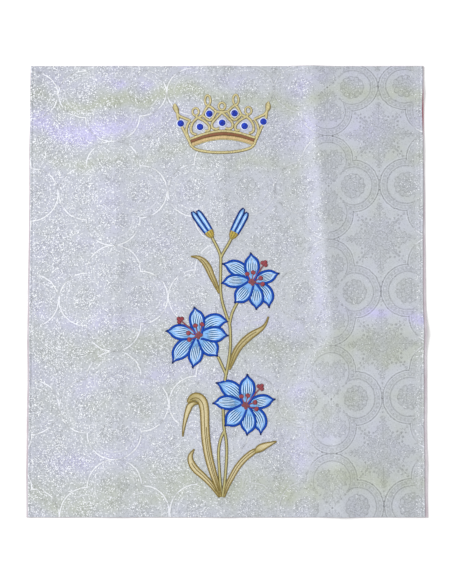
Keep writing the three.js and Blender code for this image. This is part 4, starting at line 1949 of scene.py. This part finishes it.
    def stamens(self) -> list[Run]:
        """The red heart, four stamens and the long pistil.

        Returns:
            The runs.
        """
        runs = []
        for n, (swing, reach, half) in enumerate(self.heart):
            bearing = self.pistil + swing
            base = self.red_lift + self.red_layer * n
            runs.append(self.lump(self.at(bearing, reach), bearing, half, base, 0.9, 0.7))
        for swing, reach in self.anthers:
            end = self.at(self.pistil + swing, reach)
            runs.append(self.filament(end, 12, 0.75, 0.5, 0.35))
            runs.append(self.lump(end, self.pistil + swing + self.anther_turn, 3.0, self.red_lift, 0.85))
        runs.append(self.filament(self.at(self.pistil, self.pistil_reach), 24, 0.85, 0.55, 0.4))
        for swing, reach, half in self.stigma:
            runs.append(self.lump(self.at(self.pistil + swing, reach), self.pistil, half, 0.1, 1.4))
        return runs

    def filament(self, end: Array, count: int, half: float, height: float, deep: float) -> Run:
        """A red line from the heart to its end."""
        rows = np.column_stack([np.linspace(self.at(0, 0), end, count), np.full(count, half)])
        return Run(resample(rows, self.step), height, self.red_lift, deep=deep)

    def lump(
        self, place: Array, bearing: float, half: float, base: float, height: float, deep: float = 0.0
    ) -> Run:
        """A small oval pad of satin stitches.

        Args:
            place: Its middle.
            bearing: The way its long axis points.
            half: Half its size.
            base: How high it starts.
            height: How high it stands.
            deep: The share of deep colour.

        Returns:
            The run.
        """
        angle = math.radians(bearing)
        ahead = np.array([math.cos(angle), math.sin(angle)]) * half
        share = np.linspace(-1, 1, max(7, round(half * 2.3 / self.step)))
        wide = half * np.sqrt(np.maximum(1 - share**2, 0.05))
        rows = np.column_stack([place + share[:, None] * ahead, wide])
        return Run(rows, height, base, Work.SATIN, deep, slant=0.0)


RIGHT_PETALS = (
    Petal(86, 39.5, 18.5, -1.0), Petal(-136, 36, 19.5, 1.0), Petal(-87, 37, 18.5, 2.8),
    Petal(12, 38.5, 16.0, 0.8), Petal(176, 41, 16.5, -2.4), Petal(-62, 41, 18.5, 7.0),
    Petal(142, 46.5, 19.5, -5.2),
)
LEFT_PETALS = (
    Petal(99, 36, 17.5, -0.6), Petal(0, 36, 18.0, 1.8), Petal(-48, 34.5, 19.5, 0.5),
    Petal(-101, 40.5, 17.0, 0.5), Petal(172, 41, 17.5, -1.2), Petal(-134, 47, 18.5, -3.2),
    Petal(25, 41, 18.5, 8.0),
)
BLOOMS = (
    Bloom("bloom_upper", 31.3, 9.4, 0.945, 6, RIGHT_PETALS, 56),
    Bloom("bloom_middle", -35.2, -57.8, 1.02, 0, LEFT_PETALS, 140),
    Bloom("bloom_lower", 22.9, -145.4, 1.0, 0, RIGHT_PETALS, 50),
)
DARK_STROKES = Strokes((
    (-0.76, 0.30, 0.62), (-0.42, 0.22, 0.70), (-0.08, 0.26, 0.78), (0.28, 0.22, 0.72), (0.62, 0.28, 0.66),
), 0.46, 0.34)
PALE_STROKES = Strokes((
    (-0.94, 0.40, 0.72), (-0.59, 0.34, 0.80), (-0.25, 0.32, 0.86), (0.10, 0.30, 0.84), (0.45, 0.34, 0.80),
    (0.88, 0.38, 0.72),
), 0.38, 0.22)


def under_blooms(margin: float) -> Callable[[Array], Array]:
    """A test for points that any bloom hides."""
    tests = [bloom.covered(margin) for bloom in BLOOMS]
    return lambda points: np.any([test(points) for test in tests], axis=0)


@dataclass(frozen=True)
class Bud:
    """A closed bud of two long petals in a cup.

    A petal's rows hold shares of its reach, of its distance from the middle and of its half width, and its
    foot starts with a place in millimetres. The cup's rows hold places along and across, and half widths.
    """

    name: str
    x: float
    y: float
    toward: float
    reach: float = 33.5
    breadth: float = 7.3
    spread: float = 3.15
    shorter: float = 2.4
    foot: Row = (-0.6, 0.85, 0.86)
    rows: tuple[Row, ...] = ((0.5, 1, 1), (0.87, 1, 0.9), (1, 0.96, 0.42))
    line: float = 2.5
    outside: float = 0.4
    inner_line: float = 0.8
    stroke_across: float = -0.05
    stroke_half: float = 0.42
    stroke_ends: Point = (0.12, 0.855)
    cup_rows: tuple[Row, ...] = ((-8.2, 0, 1.9), (-4.2, 0, 4.72), (1.6, 0, 5.9))
    cup_edge: tuple[Row, ...] = ((-8.2, 1.6, 0.45), (-4.0, 4.72, 0.5), (1.4, 5.9, 0.5))
    cup_lines_at: tuple[float, ...] = (-0.92, -0.3, 0.35, 0.92)
    cup_line_lifts: Point = (0.55, 0.95)
    step: float = 0.25

    def place(self, far: float, left: float, half: float) -> Row:
        """A point in the bud's own frame.

        Args:
            far: Along the bud.
            left: To its left.
            half: The half width.

        Returns:
            X, Y and the half width.
        """
        angle = math.radians(self.toward)
        c, s = math.cos(angle), math.sin(angle)
        return (self.x + far * c - left * s, self.y + far * s + left * c, half)

    def lobe(self, side: int) -> Array:
        """One petal's middle line and half widths.

        Args:
            side: 1 for the left petal, -1 for the right one.

        Returns:
            The rows.
        """
        reach = self.reach - (0 if side > 0 else self.shorter)
        rows = [self.foot, *((reach * far, out, wide) for far, out, wide in self.rows)]
        half = self.breadth / 2
        return smooth_route(
            [self.place(far, side * self.spread * out, half * wide) for far, out, wide in rows], self.step)

    def fills(self) -> list[Run]:
        """The light thread of both petals."""
        rows = [self.lobe(side)[::5] for side in (-1, 1)]
        return [Run(np.column_stack([r[:, :2], r[:, 2] - 0.4]), 0.4, 0.05, Work.LAID) for r in rows]

    def outlines(self) -> list[Run]:
        """The dark lines round both petals.

        Returns:
            The runs.
        """
        runs = []
        for side in (-1, 1):
            lobe = self.lobe(side)
            deep = 0.35 + 0.45 * np.linspace(0, 1, len(lobe))
            for edge in (-1, 1):
                out = np.maximum(lobe[:, 2] + self.outside - 0.5 * self.line, 0.1) * edge
                half = 0.5 * self.line * (self.inner_line if edge * side < 0 else 1)
                runs.append(Run(beside(lobe, out, half), 0.75, 0.0, Work.SATIN, deep))
        return runs

    def strokes(self) -> list[Run]:
        """One long single stitch on each petal.

        Returns:
            The runs.
        """
        runs = []
        first, last = self.stroke_ends
        for side in (-1, 1):
            lobe = self.lobe(side)
            share = np.linspace(0, 1, len(lobe))
            keep = (share > first) & (share < last)
            rows = beside(lobe, self.stroke_across * lobe[:, 2], self.stroke_half)
            runs.append(Run(rows[keep][::4], 0.26, 0.36, Work.CORD))
        return runs

    def cup(self) -> list[Run]:
        """The gold cup."""
        rows = smooth_route([self.place(*row) for row in self.cup_rows], self.step)
        return [Run(rows, 1.0, 0.1, slant=0)]

    def cup_lines(self) -> list[Run]:
        """The brown lines down the cup.

        Returns:
            The runs.
        """
        runs = []
        low, high = self.cup_line_lifts
        for share in self.cup_lines_at:
            ends = [self.place(far, share * out, half) for far, out, half in self.cup_edge]
            lift = high if abs(share) < 0.5 else low
            runs.append(Run(smooth_route(ends, 0.8), 0.3, lift, Work.CORD))
        return runs


BUDS = (Bud("bud_left", -22.6, 72.6, 124), Bud("bud_right", 9.0, 71.4, 63))


# Stems and leaves


@dataclass(frozen=True)
class Stems:
    """The stems, each a line through points."""

    half: float = 2.05
    height: float = 0.95
    upper: tuple[tuple[Point, ...], ...] = (
        ((-19.4, 67.2), (-15.6, 60.0), (-11.2, 51.0), (-8.0, 42.0), (-7.8, 28.0), (-7.8, -2.0),
         (-5.6, -16.0), (-0.4, -33.0), (3.4, -44.0), (4.4, -58.0), (4.0, -76.0), (0.6, -98.0),
         (-3.4, -118.0)),
        ((6.2, 65.8), (1.4, 56.4), (-3.6, 48.2), (-8.0, 40.0)),
        ((13.4, -15.4), (6.6, -29.4), (3.2, -44.0)),
        ((-11.2, -84.0), (-5.2, -97.0), (-1.4, -106.0)),
    )
    lower: tuple[tuple[Point, ...], ...] = (
        ((-5.0, -146.0), (-4.4, -158.0), (-4.0, -168.0), (-2.8, -178.0), (-1.4, -185.0), (-0.2, -200.0),
         (-1.0, -220.0), (-3.0, -242.0), (-5.6, -258.6)),
        ((-2.8, -176.0), (-7.8, -187.0), (-10.4, -202.0), (-9.6, -222.0), (-8.2, -242.0), (-6.8, -258.6)),
    )

    def runs(self, routes: Iterable[Sequence[Point]]) -> list[Run]:
        """Satin stitch down each stem, where no bloom hides it.

        Args:
            routes: The lines.

        Returns:
            The runs.
        """
        hidden = under_blooms(1.0)
        found = []
        for route in routes:
            rows = smooth_route([(x, y, self.half) for x, y in route], 0.5 * NEEDLE.pitch)
            found += [Run(part, self.height) for part in cover_up(rows, hidden)]
        return found


@dataclass(frozen=True)
class Leaf:
    """A leaf: rows of X, Y and half width, where its inner lines run, and the part turned over or under."""

    name: str
    rows: tuple[Row, ...]
    veins: tuple[Row, ...]
    flap: tuple[Row, ...] = ()
    flap_over: bool = True
    shades: tuple[Hump, ...] = (Hump(0.0, 0.22, 0.9), Hump(1.0, 0.12, 0.6))
    fuller: float = 1.13
    inset: float = 0.35
    slant: float = 0.45
    height: float = 0.7
    lift: float = 0.45
    line: float = 0.82
    line_height: float = 0.75
    line_lift: float = 0.1
    vein: float = 0.52
    vein_height: float = 0.3

    def layers(self) -> list[tuple[Array, float]]:
        """The evenly spaced rows of the leaf and of its turned tip, with how high each lies.

        Returns:
            Rows and height, for each layer.
        """
        turned = bool(self.flap) and not self.flap_over
        made = [(smooth_route(self.rows, 0.5 * NEEDLE.pitch), self.lift if turned else 0.0)]
        if self.flap:
            made.append((smooth_route(self.flap, 0.5 * NEEDLE.pitch), 0.0 if turned else self.lift))
        for rows, _ in made:
            rows[:, 2] *= self.fuller
        return made

    def depth(self, share: Array) -> Array:
        """How deep the leaf's colour is at shares of its length."""
        return sum(shade.share(share) for shade in self.shades)

    def fill(self) -> list[Run]:
        """Slanted satin stitch over the whole leaf.

        Returns:
            The runs.
        """
        runs = []
        for rows, base in self.layers():
            rows[:, 2] = np.maximum(rows[:, 2] - self.inset, 0.25)
            rows = np.column_stack([rows, self.depth(np.linspace(0, 1, len(rows)))])
            slant = -self.slant if base else self.slant
            for part in cover_up(rows, under_blooms(1.0)):
                runs.append(Run(part[:, :3], self.height, base, deep=np.minimum(part[:, 3], 1), slant=slant))
        return runs

    def lines(self) -> list[Run]:
        """The darker lines down both edges and inside.

        Returns:
            The runs.
        """
        runs = []
        for body, base in self.layers():
            lift = base + self.line_lift
            for side in (-1, 1):
                out = side * np.maximum(body[:, 2] - 0.5 * self.line, 0)
                parts = cover_up(beside(body, out, self.line), under_blooms(1.0))
                runs += [Run(part[::2], self.line_height, lift, Work.CORD) for part in parts]
        body, base = self.layers()[0]
        share = np.linspace(0, 1, len(body))
        for across, start, end in self.veins:
            keep = (share >= start) & (share <= end)
            rows = beside(body, across * body[:, 2], self.vein)[keep]
            rise = base + self.height * math.sqrt(max(0.1, 1 - across * across))
            parts = cover_up(rows, under_blooms(1.0))
            runs += [Run(part[::2], self.vein_height, rise, Work.CORD) for part in parts]
        return runs


LEAVES = (
    Leaf("leaf_upper", ((-9.4, -4.4, 1.2), (-14.8, 8.0, 2.6), (-19.6, 18.6, 3.2), (-23.8, 28.2, 3.6),
                        (-29.6, 36.2, 3.0), (-36.6, 40.8, 1.8), (-45.4, 42.0, 0.5)), ((0.15, 0.1, 0.8),),
         shades=(Hump(0.0, 0.3, 0.9), Hump(0.6, 0.4, 0.5), Hump(1.0, 0.12, 0.6))),
    Leaf("leaf_middle", ((2.4, -100.0, 1.6), (6.0, -91.0, 2.6), (10.0, -81.0, 3.3), (15.2, -72.0, 3.6),
                         (22.0, -64.4, 3.8), (30.2, -57.4, 3.6), (38.4, -52.2, 2.9), (45.4, -47.2, 1.8),
                         (49.6, -41.0, 1.1), (52.3, -33.8, 0.6)), ((0.1, 0.04, 0.7),),
         shades=(Hump(0.0, 0.3, 0.9), Hump(0.55, 0.4, 0.35), Hump(1.0, 0.2, 0.8))),
    Leaf("leaf_tall", ((-7.6, -258.6, 1.4), (-12.6, -243.0, 3.0), (-18.7, -224.4, 4.0), (-23.5, -205.4, 4.4),
                       (-26.4, -186.3, 4.6), (-27.6, -167.2, 4.6), (-28.4, -149.8, 4.9), (-30.4, -141.4, 5.2),
                       (-34.2, -136.6, 5.3), (-39.3, -135.0, 5.1), (-43.7, -136.2, 4.0), (-46.5, -138.4, 2.8),
                       (-49.4, -141.4, 0.8)),
         ((-0.3, 0.05, 0.62), (0.1, 0.02, 0.97)),
         ((-36.4, -142.6, 0.8), (-41.6, -142.6, 2.2), (-46.2, -145.6, 3.2), (-48.2, -149.8, 3.2),
          (-50.6, -156.8, 2.5), (-52.6, -165.2, 1.9), (-53.9, -172.0, 1.4), (-54.8, -178.8, 0.9),
          (-55.2, -184.2, 0.4)),
         flap_over=False, shades=(Hump(0.0, 0.14, 0.9), Hump(0.97, 0.1, 0.8))),
    Leaf("leaf_left", ((-9.0, -258.8, 1.2), (-19.6, -243.6, 2.8), (-30.2, -232.6, 3.4), (-38.8, -224.8, 3.8),
                       (-44.6, -216.0, 3.4), (-45.6, -208.0, 2.4), (-40.8, -199.6, 0.5)),
         ((-0.1, 0.1, 0.75),)),
    Leaf("leaf_right", ((-4.2, -258.8, 1.3), (0.6, -244.6, 2.6), (6.6, -233.0, 3.0), (14.0, -220.6, 3.1),
                        (23.6, -210.1, 3.1), (33.2, -202.9, 2.9), (41.0, -199.4, 1.4)), ((0.1, 0.05, 0.9),),
         ((35.4, -203.2, 1.6), (40.6, -199.0, 3.9), (47.6, -195.4, 3.4), (54.8, -192.6, 2.0),
          (62.0, -189.9, 0.5))),
)


# The crown


@dataclass(frozen=True)
class Crown:
    """The crown, in its own frame with the middle of the band's lower edge at the origin."""

    x: float = -5.4
    y: float = 190.0
    turn: float = 0.021
    cord: float = 1.9
    fine: float = 1.55
    band: float = 1.95
    wide: float = 2.6
    hem: float = 0.75
    height: float = 0.95
    side_layer: float = 0.04
    span_layer: float = 0.05
    loop_inset: float = 0.95
    sides: tuple[tuple[Point, ...], ...] = (
        ((0, 34.6), (7.4, 27.4), (13.0, 20.4), (12.2, 15.0), (7.6, 13.4), (4.0, 14.4)),
        ((7.0, 35.6), (17.0, 42.8), (24.6, 31.2)),
        ((7.0, 35.6), (15.2, 24.8), (24.6, 31.2)),
        ((24.6, 31.2), (30.8, 28.8), (33.0, 31.2)),
        ((30.8, 28.8), (21.6, 23.4), (16.6, 17.2), (17.2, 12.2), (22.0, 11.4)),
        ((30.8, 28.8), (36.4, 23.6), (39.6, 16.4), (38.6, 9.8), (33.2, 7.0)),
        ((56.6, 35.0), (54.0, 31.6), (48.0, 28.6), (40.4, 25.2)),
        ((40.4, 25.2), (43.8, 20.0), (45.6, 11.2), (42.4, 1.4)),
        ((56.8, 36.0), (55.4, 27.0), (49.8, 15.0), (46.0, 6.6), (42.0, -1.6), (40.0, -7.2)),
    )
    spans: tuple[tuple[Point, ...], ...] = (
        ((-7.0, 35.6), (0, 34.8), (7.0, 35.6)),
        ((-41.4, 1.4), (-22, 7.8), (0, 10.7), (22, 7.8), (41.4, 1.4)),
        ((-40, -7.0), (-35, -11.2), (-21, -15.0), (0, -16.7), (21, -15.0), (35, -11.2), (40, -7.0)),
    )
    lower: tuple[Point, ...] = ((-38.8, -5.3), (-21, 0.4), (0, 2.8), (21, 0.4), (38.8, -5.3))
    dark: tuple[Point, ...] = ((-40.4, -1.6), (-21, 4.8), (0, 7.3), (21, 4.8), (40.4, -1.6))
    loops: tuple[tuple[float, float, float, float], ...] = (
        (0, 42.3, 5.1, 5.5), (17.8, 50.3, 4.4, 7.2), (-17.8, 50.3, 4.4, 7.2),
        (33.4, 36.3, 4.9, 5.6), (-33.4, 36.3, 4.9, 5.6),
    )
    tip: tuple[Row, ...] = ((56.4, 35.0, 1.7), (58.0, 39.2, 3.6), (58.9, 43.2, 3.5), (59.3, 47.4, 1.0))
    stones: tuple[Point, ...] = (
        (-52.6, 21.9), (-28.2, 16.8), (-16.0, 33.2), (0, 21.1), (15.8, 33.2), (28.2, 16.8), (52.2, 21.9),
    )
    stone_room: float = 4.3

    def on_cloth(self, u: float, v: float) -> Point:
        """A point of the crown's frame on the cloth."""
        c, s = math.cos(self.turn), math.sin(self.turn)
        return self.x + u * c - v * s, self.y + u * s + v * c

    def route(self, points: Iterable[Sequence[float]], half: float | None, side: int = 1) -> Array:
        """A smooth line on the cloth; a row's own half width holds where half is None."""
        rows = [(*self.on_cloth(side * p[0], p[1]), p[2] if half is None else half) for p in points]
        return smooth_route(rows, 0.5 * NEEDLE.pitch)

    def under_stones(self, points: Array) -> Array:
        """Whether points lie under a stone."""
        places = np.array([self.on_cloth(u, v) for u, v in self.stones])
        return (np.linalg.norm(points[:, None] - places[None], axis=2) < self.stone_room).any(axis=1)

    def parts(self, rows: Array, height: float, base: float = 0.0) -> list[Run]:
        """A line's runs beside the stones."""
        return [Run(part, height, base) for part in cover_up(rows, self.under_stones)]

    def cords(self) -> list[Run]:
        """All the gold lines.

        Returns:
            The runs.
        """
        runs = []
        for n, points in enumerate(self.sides):
            for side in (-1, 1):
                base = self.side_layer * (n % 3)
                runs += self.parts(self.route(points, self.cord, side), self.height, base)
        for n, points in enumerate(self.spans):
            runs += self.parts(self.route(points, self.cord), self.height, self.span_layer * n)
        hem = [(u, v - self.wide) for u, v in self.lower]
        runs.append(Run(self.route(hem, self.hem), 0.8, 0.1))
        runs += [Run(self.route(self.tip, None, side), self.height) for side in (-1, 1)]
        for u, v, across, up in self.loops:
            across, up = across - self.loop_inset, up - self.loop_inset
            angles = np.linspace(-math.pi / 2, 1.5 * math.pi, 61)
            ring = [self.on_cloth(u + across * math.cos(a), v + up * math.sin(a)) for a in angles]
            rows = np.column_stack([ring, np.full(len(ring), self.fine)])
            runs.append(Run(resample(rows, 0.5 * NEEDLE.pitch), 0.85, 0.03))
        return runs

    def lower_band(self) -> list[Run]:
        """The broad lower line of the band."""
        return [Run(self.route(self.lower, self.wide), 0.9, -0.02)]

    def dark_band(self) -> list[Run]:
        """The dark line in the middle of the band."""
        return [Run(self.route(self.dark, self.band), 0.85, 0.04)]


@dataclass(frozen=True)
class Stone:
    """A flat-backed cut stone in a shallow pale cup."""

    radius: float = 4.25
    table: float = 2.3
    girdle: float = 0.6
    shoulder: float = 1.6
    shoulder_radius: float = 3.6
    height: float = 2.4
    sides: int = 12
    cup_rows: tuple[Point, ...] = ((4.05, 0.0), (4.3, 0.55), (4.75, 0.55), (5.5, 0.15), (5.5, 0.0))
    cup_sides: int = 28
    seat: float = 2.75

    def set_down(self, bm: Mesh, place: Point) -> None:
        """Tilt a stone to the cloth's slope and put it on its place.

        Args:
            bm: The stone's mesh, upright at the origin.
            place: Its place.
        """
        x, y = (np.array(c) for c in place)
        slope_x, slope_y = LAY.slope(x, y)
        up = Vector((-float(slope_x), -float(slope_y), 1)).normalized()
        turn = Vector((0, 0, 1)).rotation_difference(up).to_matrix()
        bmesh.ops.rotate(bm, matrix=turn, verts=bm.verts)
        lift = float(LAY.height(x, y)) + self.seat
        bmesh.ops.translate(bm, vec=(*place, lift), verts=bm.verts)

    def gem(self, name: str, place: Point, finish: Material) -> Piece:
        """Build the cut stone.

        Args:
            name: The piece's name.
            place: Its place.
            finish: Its finish.

        Returns:
            The stone.
        """
        bm = bmesh.new()
        bmesh.ops.create_cone(bm, cap_ends=True, segments=self.sides, radius1=self.radius,
                              radius2=self.radius, depth=self.girdle)
        bmesh.ops.translate(bm, vec=(0, 0, 0.5 * self.girdle), verts=bm.verts)
        levels = ((self.shoulder_radius / self.radius, self.shoulder - self.girdle),
                  (self.table / self.shoulder_radius, self.height - self.shoulder))
        angle = math.pi / self.sides
        corner = Vector((math.cos(angle), math.sin(angle), 0))
        half_turn = Vector((1, 0, 0)).rotation_difference(corner).to_matrix()
        for shrink, rise in levels:
            top = max(bm.faces, key=lambda face: face.calc_center_median().z)
            ring = bmesh.ops.extrude_face_region(bm, geom=[top])["geom"]
            verts = [v for v in ring if isinstance(v, bmesh.types.BMVert)]
            bmesh.ops.scale(bm, vec=(shrink, shrink, 1), verts=verts)
            bmesh.ops.translate(bm, vec=(0, 0, rise), verts=verts)
            bmesh.ops.rotate(bm, matrix=half_turn, verts=verts)
        bmesh.ops.triangulate(bm, faces=[f for f in bm.faces if len(f.verts) == 4])
        self.set_down(bm, place)
        return to_object(name, bm, finish, smooth=False)

    def cup(self, name: str, place: Point, finish: Material) -> Piece:
        """Build the cup's pale rim.

        Args:
            name: The piece's name.
            place: Its place.
            finish: Its finish.

        Returns:
            The cup.
        """
        bm = bmesh.new()
        verts = [bm.verts.new((r, 0, z)) for r, z in self.cup_rows]
        edges = [bm.edges.new((a, b)) for a, b in zip(verts, [*verts[1:], verts[0]])]
        bmesh.ops.spin(bm, geom=[*verts, *edges], cent=(0, 0, 0), axis=(0, 0, 1), angle=2 * math.pi,
                       steps=self.cup_sides, use_merge=True)
        bmesh.ops.remove_doubles(bm, verts=bm.verts, dist=1e-4)
        self.set_down(bm, place)
        return to_object(name, bm, finish)


# The floor, the light and the camera


@dataclass(frozen=True)
class Studio:
    """A pale floor, soft light from the upper left, and the camera above the cloth."""

    floor_size: float = 6.0
    floor_drop: float = 0.0003
    distance: float = 1.15
    elevation: float = 88.0
    scale: float = 1.2575
    frame_long: int = 584
    sensor: float = 36.0
    aim: Row = (-0.0011, -0.0029, 0.004)
    sky: float = 0.82
    key_power: float = 112.0
    key_size: float = 1.7
    key_place: Row = (-3.0, 1.3, 3.0)

    def floor(self) -> None:
        """Lay the floor."""
        bm = bmesh.new()
        bmesh.ops.create_grid(bm, x_segments=2, y_segments=2, size=0.5 * self.floor_size)
        bmesh.ops.translate(bm, vec=(0, 0, -self.floor_drop), verts=bm.verts)
        mesh = bpy.data.meshes.new("floor")
        bm.to_mesh(mesh)
        bm.free()
        board = Board("floor_paper")
        board.finish((0.97, 0.97, 0.97), 0.9, None, Specular_IOR_Level=0.1)
        mesh.materials.append(board.material)
        piece = bpy.data.objects.new("floor", mesh)
        bpy.context.scene.collection.objects.link(piece)

    def light(self) -> None:
        """Hang the lights."""
        world = bpy.data.worlds.new("studio")
        world.use_nodes = True
        background = world.node_tree.nodes["Background"]
        background.inputs["Color"].default_value = (1, 1, 1, 1)
        background.inputs["Strength"].default_value = self.sky
        bpy.context.scene.world = world
        lamp = bpy.data.lights.new("key", "AREA")
        lamp.shape = "DISK"
        lamp.size = self.key_size
        lamp.energy = self.key_power
        key = bpy.data.objects.new("key", lamp)
        key.location = self.key_place
        key.rotation_mode = "QUATERNION"
        key.rotation_quaternion = (-Vector(self.key_place)).to_track_quat("-Z", "Y")
        bpy.context.scene.collection.objects.link(key)

    def camera(self) -> None:
        """Set the camera up at the photo's angle."""
        data = bpy.data.cameras.new("camera")
        data.sensor_width = self.sensor
        data.lens = self.sensor * (self.distance / (self.scale * MM)) / self.frame_long
        data.clip_start = 0.01
        camera = bpy.data.objects.new("camera", data)
        angle = math.radians(self.elevation)
        back = Vector((0, -math.cos(angle), math.sin(angle)))
        camera.location = Vector(self.aim) + back * self.distance
        camera.rotation_mode = "QUATERNION"
        camera.rotation_quaternion = (-back).to_track_quat("-Z", "Y")
        bpy.context.scene.collection.objects.link(camera)
        bpy.context.scene.camera = camera
        bpy.context.scene.view_settings.view_transform = "Standard"


# Thread colours

GOLD = ThreadFinish(
    "gold_thread", tone(202, 191, 140), tone(122, 106, 54), tone(120, 92, 40), 0.2, uneven=0.2, grain=2.6)
PEACH = ThreadFinish(
    "peach_thread", tone(205, 178, 128), tone(136, 112, 60), tone(120, 92, 40), 0.3, uneven=0.16, grain=2.6)
RUSSET = ThreadFinish("russet_thread", tone(134, 84, 54), tone(98, 62, 34), tone(80, 30, 20))
OLIVE = ThreadFinish("olive_thread", tone(190, 182, 124), tone(88, 74, 32), tone(90, 70, 30), 0.16, 0.78)
LEAF = ThreadFinish("leaf_thread", tone(208, 196, 156), tone(180, 160, 104), tone(152, 136, 66), 0.35)
LEAF_LINE = ThreadFinish("leaf_line_thread", tone(124, 106, 42), tone(98, 80, 30), tone(90, 70, 30))
SKY = ThreadFinish("sky_thread", tone(122, 172, 226), tone(82, 142, 212), tone(60, 110, 190), gloss=0.4)
ROYAL = ThreadFinish("royal_thread", tone(8, 68, 172), tone(0, 34, 108), tone(0, 22, 84), 0.3, gloss=0.16)
STROKE = ThreadFinish("stroke_thread", tone(38, 78, 104), tone(38, 78, 104), tone(40, 60, 90), gloss=0.2)
PALE = ThreadFinish("pale_thread", tone(226, 240, 252), tone(214, 232, 250), tone(180, 200, 230))
BRICK = ThreadFinish("brick_thread", tone(154, 66, 74), tone(90, 40, 54), tone(122, 72, 80), 0.25, gloss=0.3)
BUD_CUP = ThreadFinish("cup_thread", tone(184, 164, 66), tone(140, 112, 42), tone(110, 80, 30))
STITCH = ThreadFinish("stitch_thread", tone(226, 226, 232), tone(210, 210, 220), tone(190, 190, 200))


def embroider() -> list[Piece]:
    """Sew every motif.

    Returns:
        The pieces that lie on the panel.
    """
    made = {finish.name: finish.make() for finish in (
        GOLD, PEACH, RUSSET, OLIVE, LEAF, LEAF_LINE, SKY, ROYAL, STROKE, PALE, BRICK, BUD_CUP)}
    pieces = []

    def piece(name: str, runs: Iterable[Run], finish: ThreadFinish, slot: str, *nodes: str) -> None:
        """Sew one piece and hide the parts of the nodes that it stands for.

        Args:
            name: The piece's name.
            runs: Its runs.
            finish: Its thread.
            slot: Not used.
            *nodes: The node, if it stands for one.
        """
        sewn = NEEDLE.sew(name, runs, made[finish.name])
        if nodes:
            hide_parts(*nodes)
        pieces.append(sewn)

    crown, stems = Crown(), Stems()
    piece("crown_cords", crown.cords(), GOLD, "gold_thread", "crown_gold")
    piece("crown_lower_band", crown.lower_band(), PEACH, "gold_thread")
    piece("crown_dark_band", crown.dark_band(), RUSSET, "russet_thread", "crown_band")
    piece("stem_upper_satin", stems.runs(stems.upper), OLIVE, "olive_thread", "stem_upper")
    piece("stem_lower_satin", stems.runs(stems.lower), OLIVE, "olive_thread", "stem_lower")
    for leaf in LEAVES:
        piece(f"{leaf.name}_fill", leaf.fill(), LEAF, "gold_thread", leaf.name)
        piece(f"{leaf.name}_lines", leaf.lines(), LEAF_LINE, "gold_thread")
    for bloom in BLOOMS:
        piece(f"{bloom.name}_fill", bloom.fills(), SKY, "sky_thread", f"{bloom.name}_petals")
        piece(f"{bloom.name}_satin", bloom.outlines(), ROYAL, "royal_thread", f"{bloom.name}_outline")
        piece(f"{bloom.name}_dark_strokes", bloom.strokes(DARK_STROKES), STROKE, "sky_thread")
        piece(f"{bloom.name}_pale_strokes", bloom.strokes(PALE_STROKES), PALE, "sky_thread")
        piece(f"{bloom.name}_red", bloom.stamens(), BRICK, "brick_thread", f"{bloom.name}_stamens")
    for bud in BUDS:
        piece(f"{bud.name}_fill", bud.fills(), SKY, "sky_thread", f"{bud.name}_petals")
        piece(f"{bud.name}_satin", bud.outlines(), ROYAL, "royal_thread", f"{bud.name}_outline")
        piece(f"{bud.name}_pale_strokes", bud.strokes(), PALE, "sky_thread")
        piece(f"{bud.name}_cup_satin", bud.cup(), BUD_CUP, "gold_thread", f"{bud.name}_cup")
        piece(f"{bud.name}_cup_lines", bud.cup_lines(), LEAF_LINE, "gold_thread")
    return pieces


def set_stones() -> list[Piece]:
    """Set the crown's stones.

    Returns:
        The stones and their cups.
    """
    crown, stone = Crown(), Stone()
    glass, silver = StoneFinish().make(), CupFinish().make()
    pieces = []
    for n, (u, v) in enumerate(crown.stones, start=1):
        place = crown.on_cloth(u, v)
        gem = stone.gem(f"stone_{n}_gem", place, glass)
        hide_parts(f"stone_{n}")
        pieces += [gem, stone.cup(f"stone_{n}_cup", place, silver)]
    return pieces


def main() -> None:
    """Build the cover, its stage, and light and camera."""
    logging.basicConfig(level=logging.INFO, format="%(name)s %(message)s")
    studio = Studio()
    studio.floor()
    studio.light()
    studio.camera()
    cover = CoverCloth()
    lining = cover.lining(LiningFinish().make())
    panel = cover.panel(BrocadeFinish().make())
    on_panel = [cover.stitches(STITCH.make()), *embroider(), *set_stones()]


if __name__ == "__main__":
    main()
